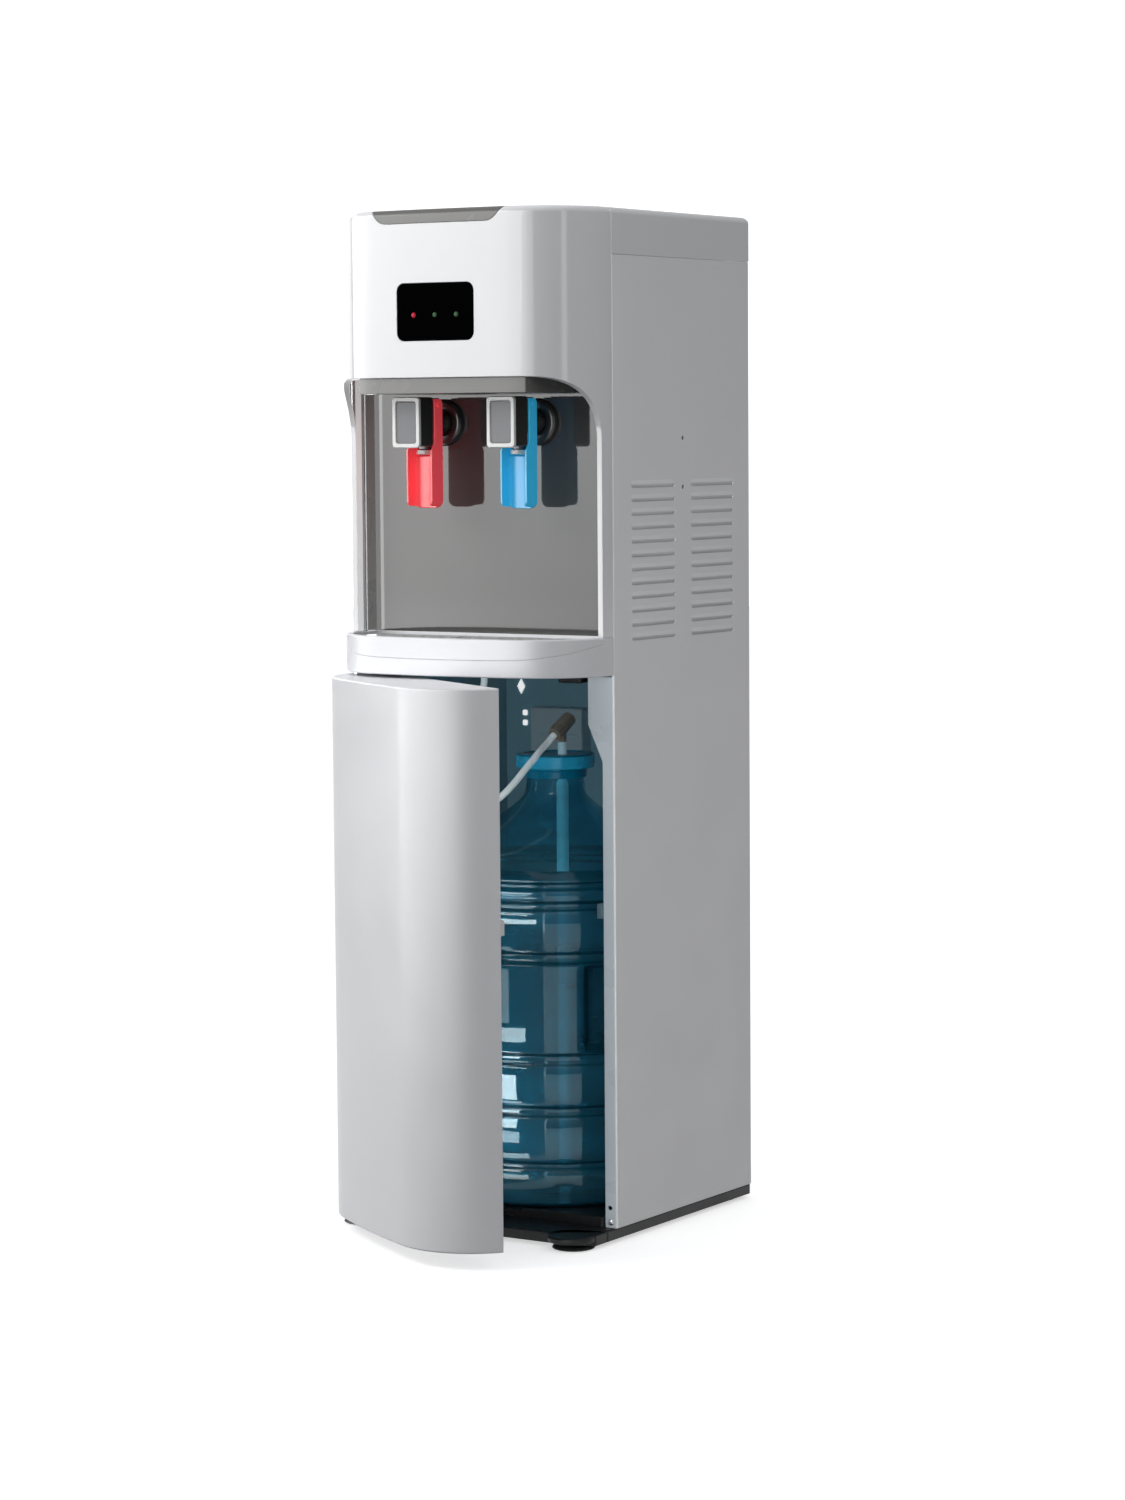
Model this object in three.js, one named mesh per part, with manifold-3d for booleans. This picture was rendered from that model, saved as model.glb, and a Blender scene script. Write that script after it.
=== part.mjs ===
// A floor-standing water dispenser that takes its bottle in the cabinet below the taps.
// Millimetres, +Z up, front towards -Y. The origin is the centre of the base, on the floor.
// Inside the machine group y = 0 is the seam between the front housing and the side panels.
import * as THREE from 'three';
import { mergeVertices } from 'three/addons/utils/BufferGeometryUtils.js';
import Module from 'manifold-3d';

const wasm = await Module();
wasm.setup();

// ---- driving dimensions -------------------------------------------------------------------
const WIDTH = 310;
const HALF = WIDTH / 2;
const HEIGHT = 1045;
const BOW = 86; // how far the front stands out from the seam
const BOW_RADIUS = 1000; // radius of the nearly flat middle of the front
const DEPTH = 275; // seam to back edge
const BASE_CENTRE = 100; // seam to the centre of the base
const GAP = 0.3; // clearance between touching pieces

const PANEL_FOOT = 14.8; // lowest edge of the side panels
const COVER_SEAM = 998; // top cover above, side panels below
const HEAD_BOTTOM = 877;
const TRAY_TOP = 616;
const BAND_BOTTOM = 577.5;
const SHEET = 1.5;

const ARCH_RADIUS = 62; // side-view fillet between the head and its cheeks
const CHEEK_DEPTH = 17;
const WALL = 6;

const PANEL_Y = 16; // mirror face of the recess liner
const TAP_X = 57.5;
const TAP_Z = 832;
const LEVER_PIVOT = { y: -20, z: 850 };

const DOOR_OPEN = 32; // degrees, as the door stands
const DOOR_TOP = 574;
const DOOR_FOOT = 17;
const DOOR_BACK = -6;
const DOOR_WALL = 3;
const HINGE = { x: -136, y: -34 };

const BOTTLE_Y = 132;
const BOTTLE_R = 132.5;
const BOTTLE_FOOT = 21.5;
const CAP_TOP = 484;

const BACK_UPPER_Y = 240;
const SHELF_Z = 580;
const UPPER_SHELF_Z = 782;

// ---- materials ----------------------------------------------------------------------------
function material(color, roughness, metalness = 0) {
  return new THREE.MeshStandardMaterial({ color, roughness, metalness });
}
const white = material(0xf2f3f5, 0.25);
const paint = material(0xc9cacc, 0.45, 0.1);
const grey = material(0x9c9d9f, 0.4);
const mirror = material(0x8f8f90, 0.15, 0.9);
const black = material(0x16181a, 0.45);
const gloss = material(0x050506, 0.08);
const red = material(0xf0404a, 0.3);
const blue = material(0x129fe0, 0.3);
const steel = material(0xb4b7ba, 0.35, 0.9);
const clearBlue = material(0x2d6f92, 0.1);
const teal = material(0x0878a8, 0.35);
const brown = material(0x5d5850, 0.5);
const silicone = material(0xc9dbe0, 0.4);
const ledRed = material(0xe02830, 0.3);
const ledGreen = material(0x2fa84a, 0.3);

// ---- solids -------------------------------------------------------------------------------
function solid(geometry) {
  const bare = geometry.clone();
  bare.deleteAttribute('normal');
  bare.deleteAttribute('uv');
  const merged = mergeVertices(bare, 1e-4);
  return new wasm.Manifold(new wasm.Mesh({
    numProp: 3,
    vertProperties: new Float32Array(merged.attributes.position.array),
    triVerts: new Uint32Array(merged.index.array),
  }));
}

function geometryOf(body) {
  const mesh = body.getMesh();
  const geometry = new THREE.BufferGeometry();
  geometry.setAttribute('position', new THREE.BufferAttribute(mesh.vertProperties, 3));
  geometry.setIndex(new THREE.BufferAttribute(mesh.triVerts, 1));
  geometry.computeVertexNormals();
  return geometry;
}

function shapeOf(points) {
  return new THREE.Shape(points.map(([x, y]) => new THREE.Vector2(x, y)));
}

function extruded(shape, depth) {
  return new THREE.ExtrudeGeometry(shape, { depth, bevelEnabled: false, curveSegments: 4 });
}

// outline in the XY plane, between two heights
function prism(points, z0, z1) {
  return solid(extruded(shapeOf(points), z1 - z0).translate(0, 0, z0));
}

// outline in front view (x, z), between two depths
function frontPrism(shape, y0, y1) {
  return solid(extruded(shape, y1 - y0).rotateX(Math.PI / 2).translate(0, y1, 0));
}

// outline in side view (y, z), between two widths
function sidePrism(points, x0, x1) {
  const geometry = extruded(shapeOf(points), x1 - x0);
  geometry.applyMatrix4(new THREE.Matrix4().set(0, 0, 1, x0, 1, 0, 0, 0, 0, 1, 0, 0, 0, 0, 0, 1));
  return solid(geometry);
}

function box(x0, x1, y0, y1, z0, z1) {
  const geometry = new THREE.BoxGeometry(x1 - x0, y1 - y0, z1 - z0);
  return solid(geometry.translate((x0 + x1) / 2, (y0 + y1) / 2, (z0 + z1) / 2));
}

function upright(radius, x, y, z0, z1, sides = 20) {
  const geometry = new THREE.CylinderGeometry(radius, radius, z1 - z0, sides).rotateX(Math.PI / 2);
  return solid(geometry.translate(x, y, (z0 + z1) / 2));
}

function alongY(radius, x, z, y0, y1, sides = 20) {
  const geometry = new THREE.CylinderGeometry(radius, radius, y1 - y0, sides);
  return solid(geometry.translate(x, (y0 + y1) / 2, z));
}

function alongX(radius, y, z, x0, x1, sides = 14) {
  const geometry = new THREE.CylinderGeometry(radius, radius, x1 - x0, sides).rotateZ(Math.PI / 2);
  return solid(geometry.translate((x0 + x1) / 2, y, z));
}

// profile of [radius, height] pairs that starts and ends on the axis or closes on itself
function turned(profile, x, y, sides = 24) {
  const geometry = new THREE.LatheGeometry(profile.map(([r, h]) => new THREE.Vector2(r, h)), sides);
  return geometry.rotateX(Math.PI / 2).translate(x, y, 0);
}

function roundedRect(x0, x1, z0, z1, radius) {
  const shape = new THREE.Shape();
  shape.moveTo(x0 + radius, z0);
  shape.lineTo(x1 - radius, z0);
  shape.absarc(x1 - radius, z0 + radius, radius, -Math.PI / 2, 0);
  shape.lineTo(x1, z1 - radius);
  shape.absarc(x1 - radius, z1 - radius, radius, 0, Math.PI / 2);
  shape.lineTo(x0 + radius, z1);
  shape.absarc(x0 + radius, z1 - radius, radius, Math.PI / 2, Math.PI);
  shape.lineTo(x0, z0 + radius);
  shape.absarc(x0 + radius, z0 + radius, radius, Math.PI, 1.5 * Math.PI);
  return shape;
}

const machine = new THREE.Group();
machine.position.y = -BASE_CENTRE;

function add(name, body, finish, parent = machine) {
  const geometry = body.isBufferGeometry ? body : geometryOf(body);
  const mesh = new THREE.Mesh(geometry, finish);
  mesh.name = name;
  parent.add(mesh);
  return mesh;
}

// ---- the bowed front outline, shared by the head, the tray band and the door ----------------
// A wide arc in the middle runs into a corner arc on each side, which ends along the side face.
const CORNER_RADIUS = (2 * BOW * BOW_RADIUS - (HALF ** 2 + BOW ** 2)) / (2 * BOW_RADIUS - WIDTH);
const MIDDLE_ANGLE = Math.asin((HALF - CORNER_RADIUS) / (BOW_RADIUS - CORNER_RADIUS));
const CORNER_X = HALF - CORNER_RADIUS;
const CORNER_Y = BOW_RADIUS - BOW - (BOW_RADIUS - CORNER_RADIUS) * Math.cos(MIDDLE_ANGLE);

function frontOutline(inset, back, cornerSteps = 9) {
  const right = [];
  const middle = BOW_RADIUS - inset;
  for (let i = 0; i < 3; i += 1) {
    const a = (MIDDLE_ANGLE * i) / 3;
    right.push([middle * Math.sin(a), BOW_RADIUS - BOW - middle * Math.cos(a)]);
  }
  const corner = CORNER_RADIUS - inset;
  const last = back > CORNER_Y ? Math.PI / 2 : Math.acos((CORNER_Y - back) / corner);
  for (let i = 0; i <= cornerSteps; i += 1) {
    const a = MIDDLE_ANGLE + ((last - MIDDLE_ANGLE) * i) / cornerSteps;
    right.push([CORNER_X + corner * Math.sin(a), CORNER_Y - corner * Math.cos(a)]);
  }
  if (back > CORNER_Y) right.push([HALF - inset, back]);
  const left = right.slice(1).reverse().map(([x, y]) => [-x, y]);
  return [...left, ...right];
}

// side view of the space under the head: in front of the cheeks, rounded into the head's bottom
function archProfile() {
  const centreY = -CHEEK_DEPTH - ARCH_RADIUS;
  const centreZ = HEAD_BOTTOM - ARCH_RADIUS;
  const points = [[-CHEEK_DEPTH, TRAY_TOP - 30]];
  for (let i = 0; i <= 8; i += 1) {
    const a = (Math.PI / 2) * (i / 8);
    points.push([centreY + ARCH_RADIUS * Math.cos(a), centreZ + ARCH_RADIUS * Math.sin(a)]);
  }
  points.push([-BOW - 20, HEAD_BOTTOM], [-BOW - 20, TRAY_TOP - 30]);
  return points.reverse();
}

// ---- head ---------------------------------------------------------------------------------
const DISPLAY = { x: 46.3, z0: 913.7, z1: 971.3 };
const INSERT = { top: 80, bottom: 66, z: 1031, back: -8 };
const LED_Z = 939.5;
const LED_X = [-25.7, 0, 25.7];

function insertShape(grow) {
  const shape = new THREE.Shape();
  const { top, bottom, z } = INSERT;
  shape.moveTo(-top - grow, HEIGHT + 5);
  shape.lineTo(-top - grow, HEIGHT);
  shape.quadraticCurveTo(-bottom - 8, z - grow, -bottom + 8, z - grow);
  shape.lineTo(bottom - 8, z - grow);
  shape.quadraticCurveTo(bottom + 8, z - grow, top + grow, HEIGHT);
  shape.lineTo(top + grow, HEIGHT + 5);
  return shape;
}

function frontHousing() {
  const outer = prism(frontOutline(0, 0), TRAY_TOP + GAP, HEIGHT);
  const inner = prism(frontOutline(WALL, 10), TRAY_TOP - 20, HEIGHT - 4);
  const arch = sidePrism(archProfile(), -HALF - 5, HALF + 5);
  const { x, z0, z1 } = DISPLAY;
  const window = frontPrism(roundedRect(-x, x, z0, z1, 6), -BOW - 10, -BOW + 20);
  const notch = frontPrism(insertShape(GAP), -BOW - 10, INSERT.back + GAP);
  return outer.subtract(inner).subtract(arch).subtract(window).subtract(notch);
}

function topInsert() {
  const body = frontPrism(insertShape(0), -BOW - 10, INSERT.back);
  const pocket = frontPrism(roundedRect(-60, 60, HEIGHT - 7, HEIGHT + 9, 3), -BOW + 14, INSERT.back - 6);
  return body.intersect(prism(frontOutline(0, 0), HEIGHT - 30, HEIGHT)).subtract(pocket);
}

function displayWindow() {
  const { x, z0, z1 } = DISPLAY;
  const shape = roundedRect(-x + GAP, x - GAP, z0 + GAP, z1 - GAP, 5.7);
  let body = frontPrism(shape, -BOW - 0.6, -BOW + 5);
  for (const ledX of LED_X) body = body.subtract(alongY(3, ledX, LED_Z, -BOW - 5, -BOW + 10, 12));
  return body;
}

function topCover() {
  const outer = roundedRect(-HALF, HALF, COVER_SEAM - 12, HEIGHT, 10);
  const inner = roundedRect(-HALF + 3, HALF - 3, COVER_SEAM - 20, HEIGHT - 3, 7);
  const shell = frontPrism(outer, GAP, DEPTH).subtract(frontPrism(inner, GAP + 3, DEPTH - 3));
  return shell.subtract(box(-HALF - 5, HALF + 5, -5, DEPTH + 5, COVER_SEAM - 30, COVER_SEAM + GAP));
}

function head() {
  add('front_housing', frontHousing(), white);
  add('top_insert', topInsert(), grey);
  add('top_cover', topCover(), white);
  add('display_window', displayWindow(), gloss);
  add('display_board', box(-44, 44, -BOW + 7.5, -BOW + 9.1, 915, 970), material(0x1f6a3a, 0.5));
  LED_X.forEach((x, i) => {
    const lens = alongY(2.7, x, LED_Z, -BOW - 0.6, -BOW + 7.2, 12);
    add(['led_heating', 'led_power', 'led_cooling'][i], lens, i === 0 ? ledRed : ledGreen);
  });
}

// ---- recess: liner, fascia and taps ---------------------------------------------------------
const FASCIA_HALF = 101;
const FASCIA_Z = 861;

function recessLiner() {
  const side = HALF - WALL - GAP;
  const back = box(-side, side, PANEL_Y, PANEL_Y + 2, TRAY_TOP - 20, HEAD_BOTTOM + 2);
  const returns = [-1, 1].map((s) => {
    const x = s * (side - 1);
    return box(x - 1, x + 1, GAP, PANEL_Y + 1, TRAY_TOP + GAP, HEAD_BOTTOM + 2);
  });
  const ceiling = prism(frontOutline(WALL + GAP, PANEL_Y + 1), HEAD_BOTTOM + GAP, HEAD_BOTTOM + 2);
  return back.add(returns[0]).add(returns[1]).add(ceiling);
}

function tapFascia() {
  const top = HEAD_BOTTOM - 1;
  const cut = (half, y) => box(-half, half, -BOW - 10, y, FASCIA_Z - 5, HEAD_BOTTOM + 9);
  const back = PANEL_Y - GAP;
  const outer = prism(frontOutline(3, 10), FASCIA_Z, top).intersect(cut(FASCIA_HALF, back));
  const full = outer.add(box(-FASCIA_HALF, FASCIA_HALF, 0, back, FASCIA_Z, top));
  const inner = prism(frontOutline(6, 10), FASCIA_Z + 2.5, HEAD_BOTTOM + 9)
    .intersect(cut(FASCIA_HALF - 2.5, PANEL_Y - 3));
  return full.subtract(inner);
}

function tapBody(x) {
  const block = box(x - 15.5, x + 15.5, -51.2, -28.5, 808, 858);
  const barrel = alongY(12, x, TAP_Z, -29, PANEL_Y - GAP);
  const lug = box(x - 12.5, x + 12.5, -29, -13, TAP_Z, 857);
  const spout = upright(8, x, LEVER_PIVOT.y, 804.3, TAP_Z);
  const bore = alongX(2.4, LEVER_PIVOT.y, LEVER_PIVOT.z, x - 20, x + 20);
  const channel = upright(5, x, LEVER_PIVOT.y, 800, TAP_Z - 4, 12);
  return block.add(barrel).add(lug).add(spout).subtract(bore).subtract(channel);
}

// a trough open to the front, with two ears that hang it on the pin
function tapLever(x) {
  const outer = frontPrism(roundedRect(x - 16, x + 16, 745, 858, 7), -32, -12);
  const hollow = prism([[x - 13.4, -40], [x + 13.4, -40], [x + 13.4, -19], [x + 8, -14.5],
    [x - 8, -14.5], [x - 13.4, -19]], 700, 900);
  const aboveWeb = box(x - 13.4, x + 13.4, -40, 0, 798, 900);
  const frontOfEars = box(x - 20, x + 20, -40, -26, 805.5, 900);
  const bore = alongX(2.4, LEVER_PIVOT.y, LEVER_PIVOT.z, x - 20, x + 20);
  return outer.subtract(hollow).subtract(aboveWeb).subtract(frontOfEars).subtract(bore);
}

function tap(name, x, leverFinish) {
  const opening = frontPrism(roundedRect(x - 13.2, x + 13.2, 810, 854.5, 2.5), -60, -40);
  const frame = frontPrism(roundedRect(x - 16.7, x + 16.7, 806.5, 858, 4), -55.5, -51.5);
  const insert = frontPrism(roundedRect(x - 12.9, x + 12.9, 810.3, 854.2, 2.2), -54.5, -51.8);
  const collar = alongY(24, x, TAP_Z, 7.7, PANEL_Y - GAP).subtract(alongY(12.4, x, TAP_Z, 0, 30));
  const nozzle = upright(9.3, x, LEVER_PIVOT.y, 799.6, 804).subtract(upright(6, x, LEVER_PIVOT.y, 790, 810));
  add(`${name}_tap_body`, tapBody(x), black);
  add(`${name}_tap_collar`, collar, black);
  add(`${name}_tap_frame`, frame.subtract(opening), white);
  add(`${name}_tap_insert`, insert, grey);
  add(`${name}_tap_nozzle`, nozzle, grey);
  add(`${name}_lever`, tapLever(x), leverFinish);
  add(`${name}_lever_pin`, alongX(2, LEVER_PIVOT.y, LEVER_PIVOT.z, x - 17.5, x + 17.5), steel);
}

function recess() {
  add('recess_liner', recessLiner(), mirror);
  add('tap_fascia', tapFascia(), grey);
  tap('hot', -TAP_X, red);
  tap('cold', TAP_X, blue);
}

// ---- drip tray ------------------------------------------------------------------------------
// The tray's front lip and the band below it part along a plane that rises towards the back.
const SEAM_SLOPE = 0.235;
const SEAM_AT_BACK = 614.5;
const BASIN_HALF = 146;
const BASIN_FLOOR = 597;

function belowSeam(offset) {
  const low = SEAM_AT_BACK - SEAM_SLOPE * 120 + offset;
  return sidePrism([[-120, 500], [0, 500], [0, SEAM_AT_BACK + offset], [-120, low]], -200, 200);
}

function trayBase() {
  const wall = prism(frontOutline(0, 0), BAND_BOTTOM, TRAY_TOP)
    .subtract(prism(frontOutline(4, 10), BAND_BOTTOM + 3, TRAY_TOP + 10));
  const rear = box(-200, 200, -CHEEK_DEPTH, 10, BAND_BOTTOM - 10, TRAY_TOP + 10);
  return wall.intersect(belowSeam(-GAP / 2).add(rear));
}

function dripTray() {
  const ring = prism(frontOutline(0, 0), SEAM_AT_BACK - 30, TRAY_TOP)
    .subtract(belowSeam(GAP / 2))
    .subtract(box(-200, 200, -CHEEK_DEPTH - 0.5, 10, 500, 700));
  const clip = box(-BASIN_HALF, BASIN_HALF, -BOW, PANEL_Y - GAP, BASIN_FLOOR, TRAY_TOP);
  const basin = prism(frontOutline(4.4, PANEL_Y), BASIN_FLOOR, TRAY_TOP).intersect(clip);
  const pocketClip = box(-BASIN_HALF + 2.5, BASIN_HALF - 2.5, -BOW, PANEL_Y - 3, 599, 700);
  const pocket = prism(frontOutline(7, PANEL_Y), 599.5, TRAY_TOP + 5).intersect(pocketClip);
  return ring.add(basin).subtract(pocket);
}

function dripGrille() {
  const clip = box(-BASIN_HALF + 2.8, BASIN_HALF - 2.8, -BOW, PANEL_Y - 3.3, 600, 620);
  let body = prism(frontOutline(7.3, PANEL_Y), 609.5, 613).intersect(clip);
  for (let column = -3; column <= 3; column += 1) {
    for (let row = -1; row <= 1; row += 1) {
      const y = -32 + row * 28;
      body = body.subtract(upright(9, column * 34, y, 600, 620, 8));
    }
  }
  return body.add(box(-60, 60, -34, -30, 599.8, 611));
}

// ---- cabinet --------------------------------------------------------------------------------
const FLANGE = { inner: 141, wide: 124, taperLow: 490, taperHigh: 527, top: 576 };
const VENT_COLUMNS = [[36, 121.5], [153.7, 240]];
const VENT_ROWS = 12;
const VENT_TOP = 767;
const VENT_PITCH = 14;

function ventSlot(y0, y1, z) {
  return sidePrism([[y0, z - 1.2], [y0 + 2, z - 2], [y1 - 2, z - 2], [y1, z - 1.2],
    [y1, z + 1.2], [y1 - 2, z + 2], [y0 + 2, z + 2], [y0, z + 1.2]], 140, 170);
}

function sidePanel(side) {
  const { inner, wide, taperLow, taperHigh, top } = FLANGE;
  const flange = shapeOf([[inner, PANEL_FOOT], [HALF, PANEL_FOOT], [HALF, top], [wide, top],
    [wide, taperHigh], [inner, taperLow]]);
  let body = box(HALF - SHEET, HALF, 0, DEPTH, PANEL_FOOT, COVER_SEAM)
    .add(frontPrism(flange, 0, SHEET))
    .add(box(HALF - 12, HALF, DEPTH - SHEET, DEPTH, PANEL_FOOT, COVER_SEAM));
  for (const [y0, y1] of VENT_COLUMNS) {
    for (let row = 0; row < VENT_ROWS; row += 1) {
      body = body.subtract(ventSlot(y0, y1, VENT_TOP - row * VENT_PITCH));
    }
  }
  for (const z of [814.7, 764.4]) body = body.subtract(alongX(1.6, 137.7, z, 140, 170, 8));
  body = body.subtract(alongY(2.4, 146.4, 35.2, -5, 5, 8)).subtract(alongY(2.4, 147.5, 21, -5, 5, 8));
  return side > 0 ? body : body.mirror([1, 0, 0]);
}

function backUpper() {
  const sheet = box(-HALF + 2, HALF - 2, BACK_UPPER_Y, BACK_UPPER_Y + SHEET, SHELF_Z + 4, COVER_SEAM - 1);
  const gland = alongY(8.5, 125, 620, 230, 250, 12);
  const drain = alongY(9.5, 80, 604, 230, 250, 12);
  let body = sheet.subtract(gland).subtract(drain);
  for (const x of ROCKER_X) body = body.subtract(box(x - 7, x + 7, 230, 250, ROCKER_Z - 13, ROCKER_Z + 13));
  return body;
}

const ROCKER_X = [-120, -95];
const ROCKER_Z = 965;
const ROCKER_TILT = 7;

function rocker(name, x) {
  const pivot = new THREE.Group();
  pivot.position.set(x, BACK_UPPER_Y, ROCKER_Z);
  pivot.rotation.x = THREE.MathUtils.degToRad(-ROCKER_TILT);
  machine.add(pivot);
  add(name, box(-6, 6, -4, 5, -11, 11), name === 'switch_hot' ? red : material(0x2fa84a, 0.4), pivot);
}

// serpentine of one tube that runs down the back, and two side bars that carry it
function condenser() {
  const path = new THREE.CurvePath();
  const y = 256;
  const passes = 9;
  const pitch = 34;
  const reach = 105;
  let z = 935;
  for (let i = 0; i < passes; i += 1) {
    const s = i % 2 === 0 ? 1 : -1;
    path.add(new THREE.LineCurve3(new THREE.Vector3(-s * reach, y, z), new THREE.Vector3(s * reach, y, z)));
    if (i < passes - 1) {
      const bend = new THREE.CubicBezierCurve3(
        new THREE.Vector3(s * reach, y, z), new THREE.Vector3(s * (reach + 22), y, z),
        new THREE.Vector3(s * (reach + 22), y, z - pitch), new THREE.Vector3(s * reach, y, z - pitch));
      path.add(bend);
    }
    z -= pitch;
  }
  const section = new THREE.Shape().absarc(0, 0, 2.5, 0, 2 * Math.PI);
  const options = { steps: 96, extrudePath: path, curveSegments: 3, bevelEnabled: false };
  const tube = solid(new THREE.ExtrudeGeometry(section, options));
  const bars = [-60, 60].map((x) => box(x - 3, x + 3, BACK_UPPER_Y + SHEET + GAP, y, 655, 945));
  return tube.add(bars[0]).add(bars[1]);
}

function basePan() {
  const lobe = (s) => upright(25, s * 129, -45, 8, PANEL_FOOT - GAP, 28);
  const side = HALF - 0.5;
  const plate = box(-side, side, -20, DEPTH - 1, 4, PANEL_FOOT - GAP);
  const nose = prism([[-side, -19], [-side, -40], [-140, -50], [140, -50], [side, -40], [side, -19]],
    4, PANEL_FOOT - GAP);
  const platform = box(-139, 139, 3, 268, 14, 24);
  const seat = upright(BOTTLE_R + 2, 0, BOTTLE_Y, BOTTLE_FOOT - GAP, 30, 36);
  const pad = box(-40, 40, BASE_CENTRE - 40, BASE_CENTRE + 40, 0, 5);
  const body = plate.add(nose).add(lobe(-1)).add(lobe(1)).add(platform).add(pad).subtract(seat);
  return body.subtract(upright(4.3, HINGE.x, HINGE.y, 6, 20, 12));
}

function foot(x, y) {
  return turned([[0, 0], [20, 0], [22, 1.5], [20, 3.7], [0, 3.7]], x, y, 16);
}

function cabinet() {
  add('base_pan', basePan(), black);
  add('foot_front_left', foot(-129, -42), black);
  add('foot_front_right', foot(129, -42), black);
  add('foot_rear_left', foot(-125, 248), black);
  add('foot_rear_right', foot(125, 248), black);
  add('side_panel_left', sidePanel(-1), paint);
  add('side_panel_right', sidePanel(1), paint);
  add('back_panel_lower', box(-HALF + 2, HALF - 2, DEPTH - 3.5, DEPTH - 2, PANEL_FOOT, SHELF_Z + 3), paint);
  add('back_panel_upper', backUpper(), paint);
  add('bay_shelf', box(-HALF + 2, HALF - 2, PANEL_Y + 5, DEPTH - 4, SHELF_Z, SHELF_Z + 3), steel);
  add('upper_shelf', box(-HALF + 2, HALF - 2, PANEL_Y + 3, BACK_UPPER_Y - 1, UPPER_SHELF_Z - 2, UPPER_SHELF_Z), steel);
  add('drip_tray_base', trayBase(), white);
  add('drip_tray', dripTray(), white);
  add('drip_grille', dripGrille(), grey);
}

// ---- works inside -----------------------------------------------------------------------------
function works() {
  const floor = SHELF_Z + 3 + GAP;
  add('compressor', turned([[0, floor], [50, floor], [58, floor + 20], [58, floor + 95], [40, floor + 125],
    [0, floor + 130]], 70, 150, 20), black);
  add('pump', box(-120, -60, 120, 190, floor, floor + 55), grey);
  const deck = UPPER_SHELF_Z + GAP;
  add('hot_tank', turned([[0, deck], [48, deck], [50, deck + 4], [50, deck + 120], [0, deck + 130]],
    -85, 90, 20), steel);
  add('cold_tank', turned([[0, deck], [66, deck], [70, deck + 6], [70, deck + 170], [0, deck + 185]],
    70, 130, 20), steel);
  add('condenser', condenser(), black);
  const gland = alongY(12, 125, 620, BACK_UPPER_Y + SHEET + GAP, BACK_UPPER_Y + 12, 16);
  const bore = alongY(4, 125, 620, BACK_UPPER_Y + 4, BACK_UPPER_Y + 30, 12);
  add('mains_gland', gland.add(alongY(8, 125, 620, 236, BACK_UPPER_Y + 3, 12)).subtract(bore), black);
  const plug = alongY(14, 80, 604, BACK_UPPER_Y + SHEET + GAP, BACK_UPPER_Y + 14, 16);
  add('drain_plug', plug.add(alongY(9, 80, 604, 236, BACK_UPPER_Y + 3, 12)), black);
  rocker('switch_hot', ROCKER_X[0]);
  rocker('switch_cold', ROCKER_X[1]);
  add('bay_housing', box(-118, -42, 250, DEPTH - 4, 462, 521), white);
}

// ---- bottle and its probe -----------------------------------------------------------------------
const PROBE = { x: 12, y: 127, z: 513, length: 31, tubeX: 8.5 };
const PROBE_AXIS = new THREE.Vector3(0.12, 0.83, 0.54).normalize();
// hand-set route of the hose, from the probe head to the fitting under the shelf
const HOSE_ROUTE = [
  [10.1, 113.7, 504.3], [9, 101.5, 496.3], [9.5, 86, 488.8], [8.8, 76, 481.7], [7, 66, 474.2],
  [4.9, 57, 466.4], [2, 47, 457.5], [-2.5, 37, 448.5], [-10, 29, 440.5], [-23, 22, 433],
  [-42, 18, 427.5], [-65, 18, 425], [-88, 25, 427], [-107, 39, 433], [-119, 59, 443.5],
  [-125, 82, 458.5], [-125, 107, 477.5], [-121, 130, 499], [-116, 149, 519], [-113, 160, 538],
  [-112, 165.2, 551], [-112, 166, 561.6],
];

function bottle() {
  const foot = BOTTLE_FOOT;
  const profile = [[0, foot + 8], [95, foot], [118, foot], [130, foot + 12], [BOTTLE_R, foot + 28],
    [BOTTLE_R, 122], [129, 127], [BOTTLE_R, 132], [BOTTLE_R, 276], [128, 281], [BOTTLE_R, 286],
    [BOTTLE_R, 338], [129, 343], [132, 350], [131, 378], [116, 405], [82, 428], [46, 446], [31, 456],
    [30, 468.7], [27, 468.7], [28, 455], [44, 443], [80, 425], [113, 403], [128, 377], [129, 300],
    [129, 60], [126, 40], [114, 26.5], [95, 25.5], [0, 33]];
  return turned(profile, 0, BOTTLE_Y, 28);
}

function bottleCap() {
  const ring = upright(41.6, 0, BOTTLE_Y, 469, CAP_TOP, 24);
  const skirt = upright(35, 0, BOTTLE_Y, 459, 470, 24).subtract(upright(32, 0, BOTTLE_Y, 455, 469, 24));
  return ring.add(skirt).subtract(upright(5.2, PROBE.tubeX, BOTTLE_Y, 440, 500, 12));
}

function probeHead() {
  const barrel = new THREE.CylinderGeometry(8, 8, PROBE.length, 16);
  const tilt = new THREE.Quaternion().setFromUnitVectors(new THREE.Vector3(0, 1, 0), PROBE_AXIS);
  barrel.applyQuaternion(tilt).translate(PROBE.x, PROBE.y, PROBE.z);
  return solid(barrel).add(upright(4.6, PROBE.tubeX, BOTTLE_Y, 496, PROBE.z, 12));
}

function hose() {
  const curve = new THREE.CatmullRomCurve3(HOSE_ROUTE.map((p) => new THREE.Vector3(...p)));
  const section = new THREE.Shape().absarc(0, 0, 3.6, 0, 2 * Math.PI);
  return new THREE.ExtrudeGeometry(section, {
    steps: 36, extrudePath: curve, curveSegments: 4, bevelEnabled: false });
}

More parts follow.
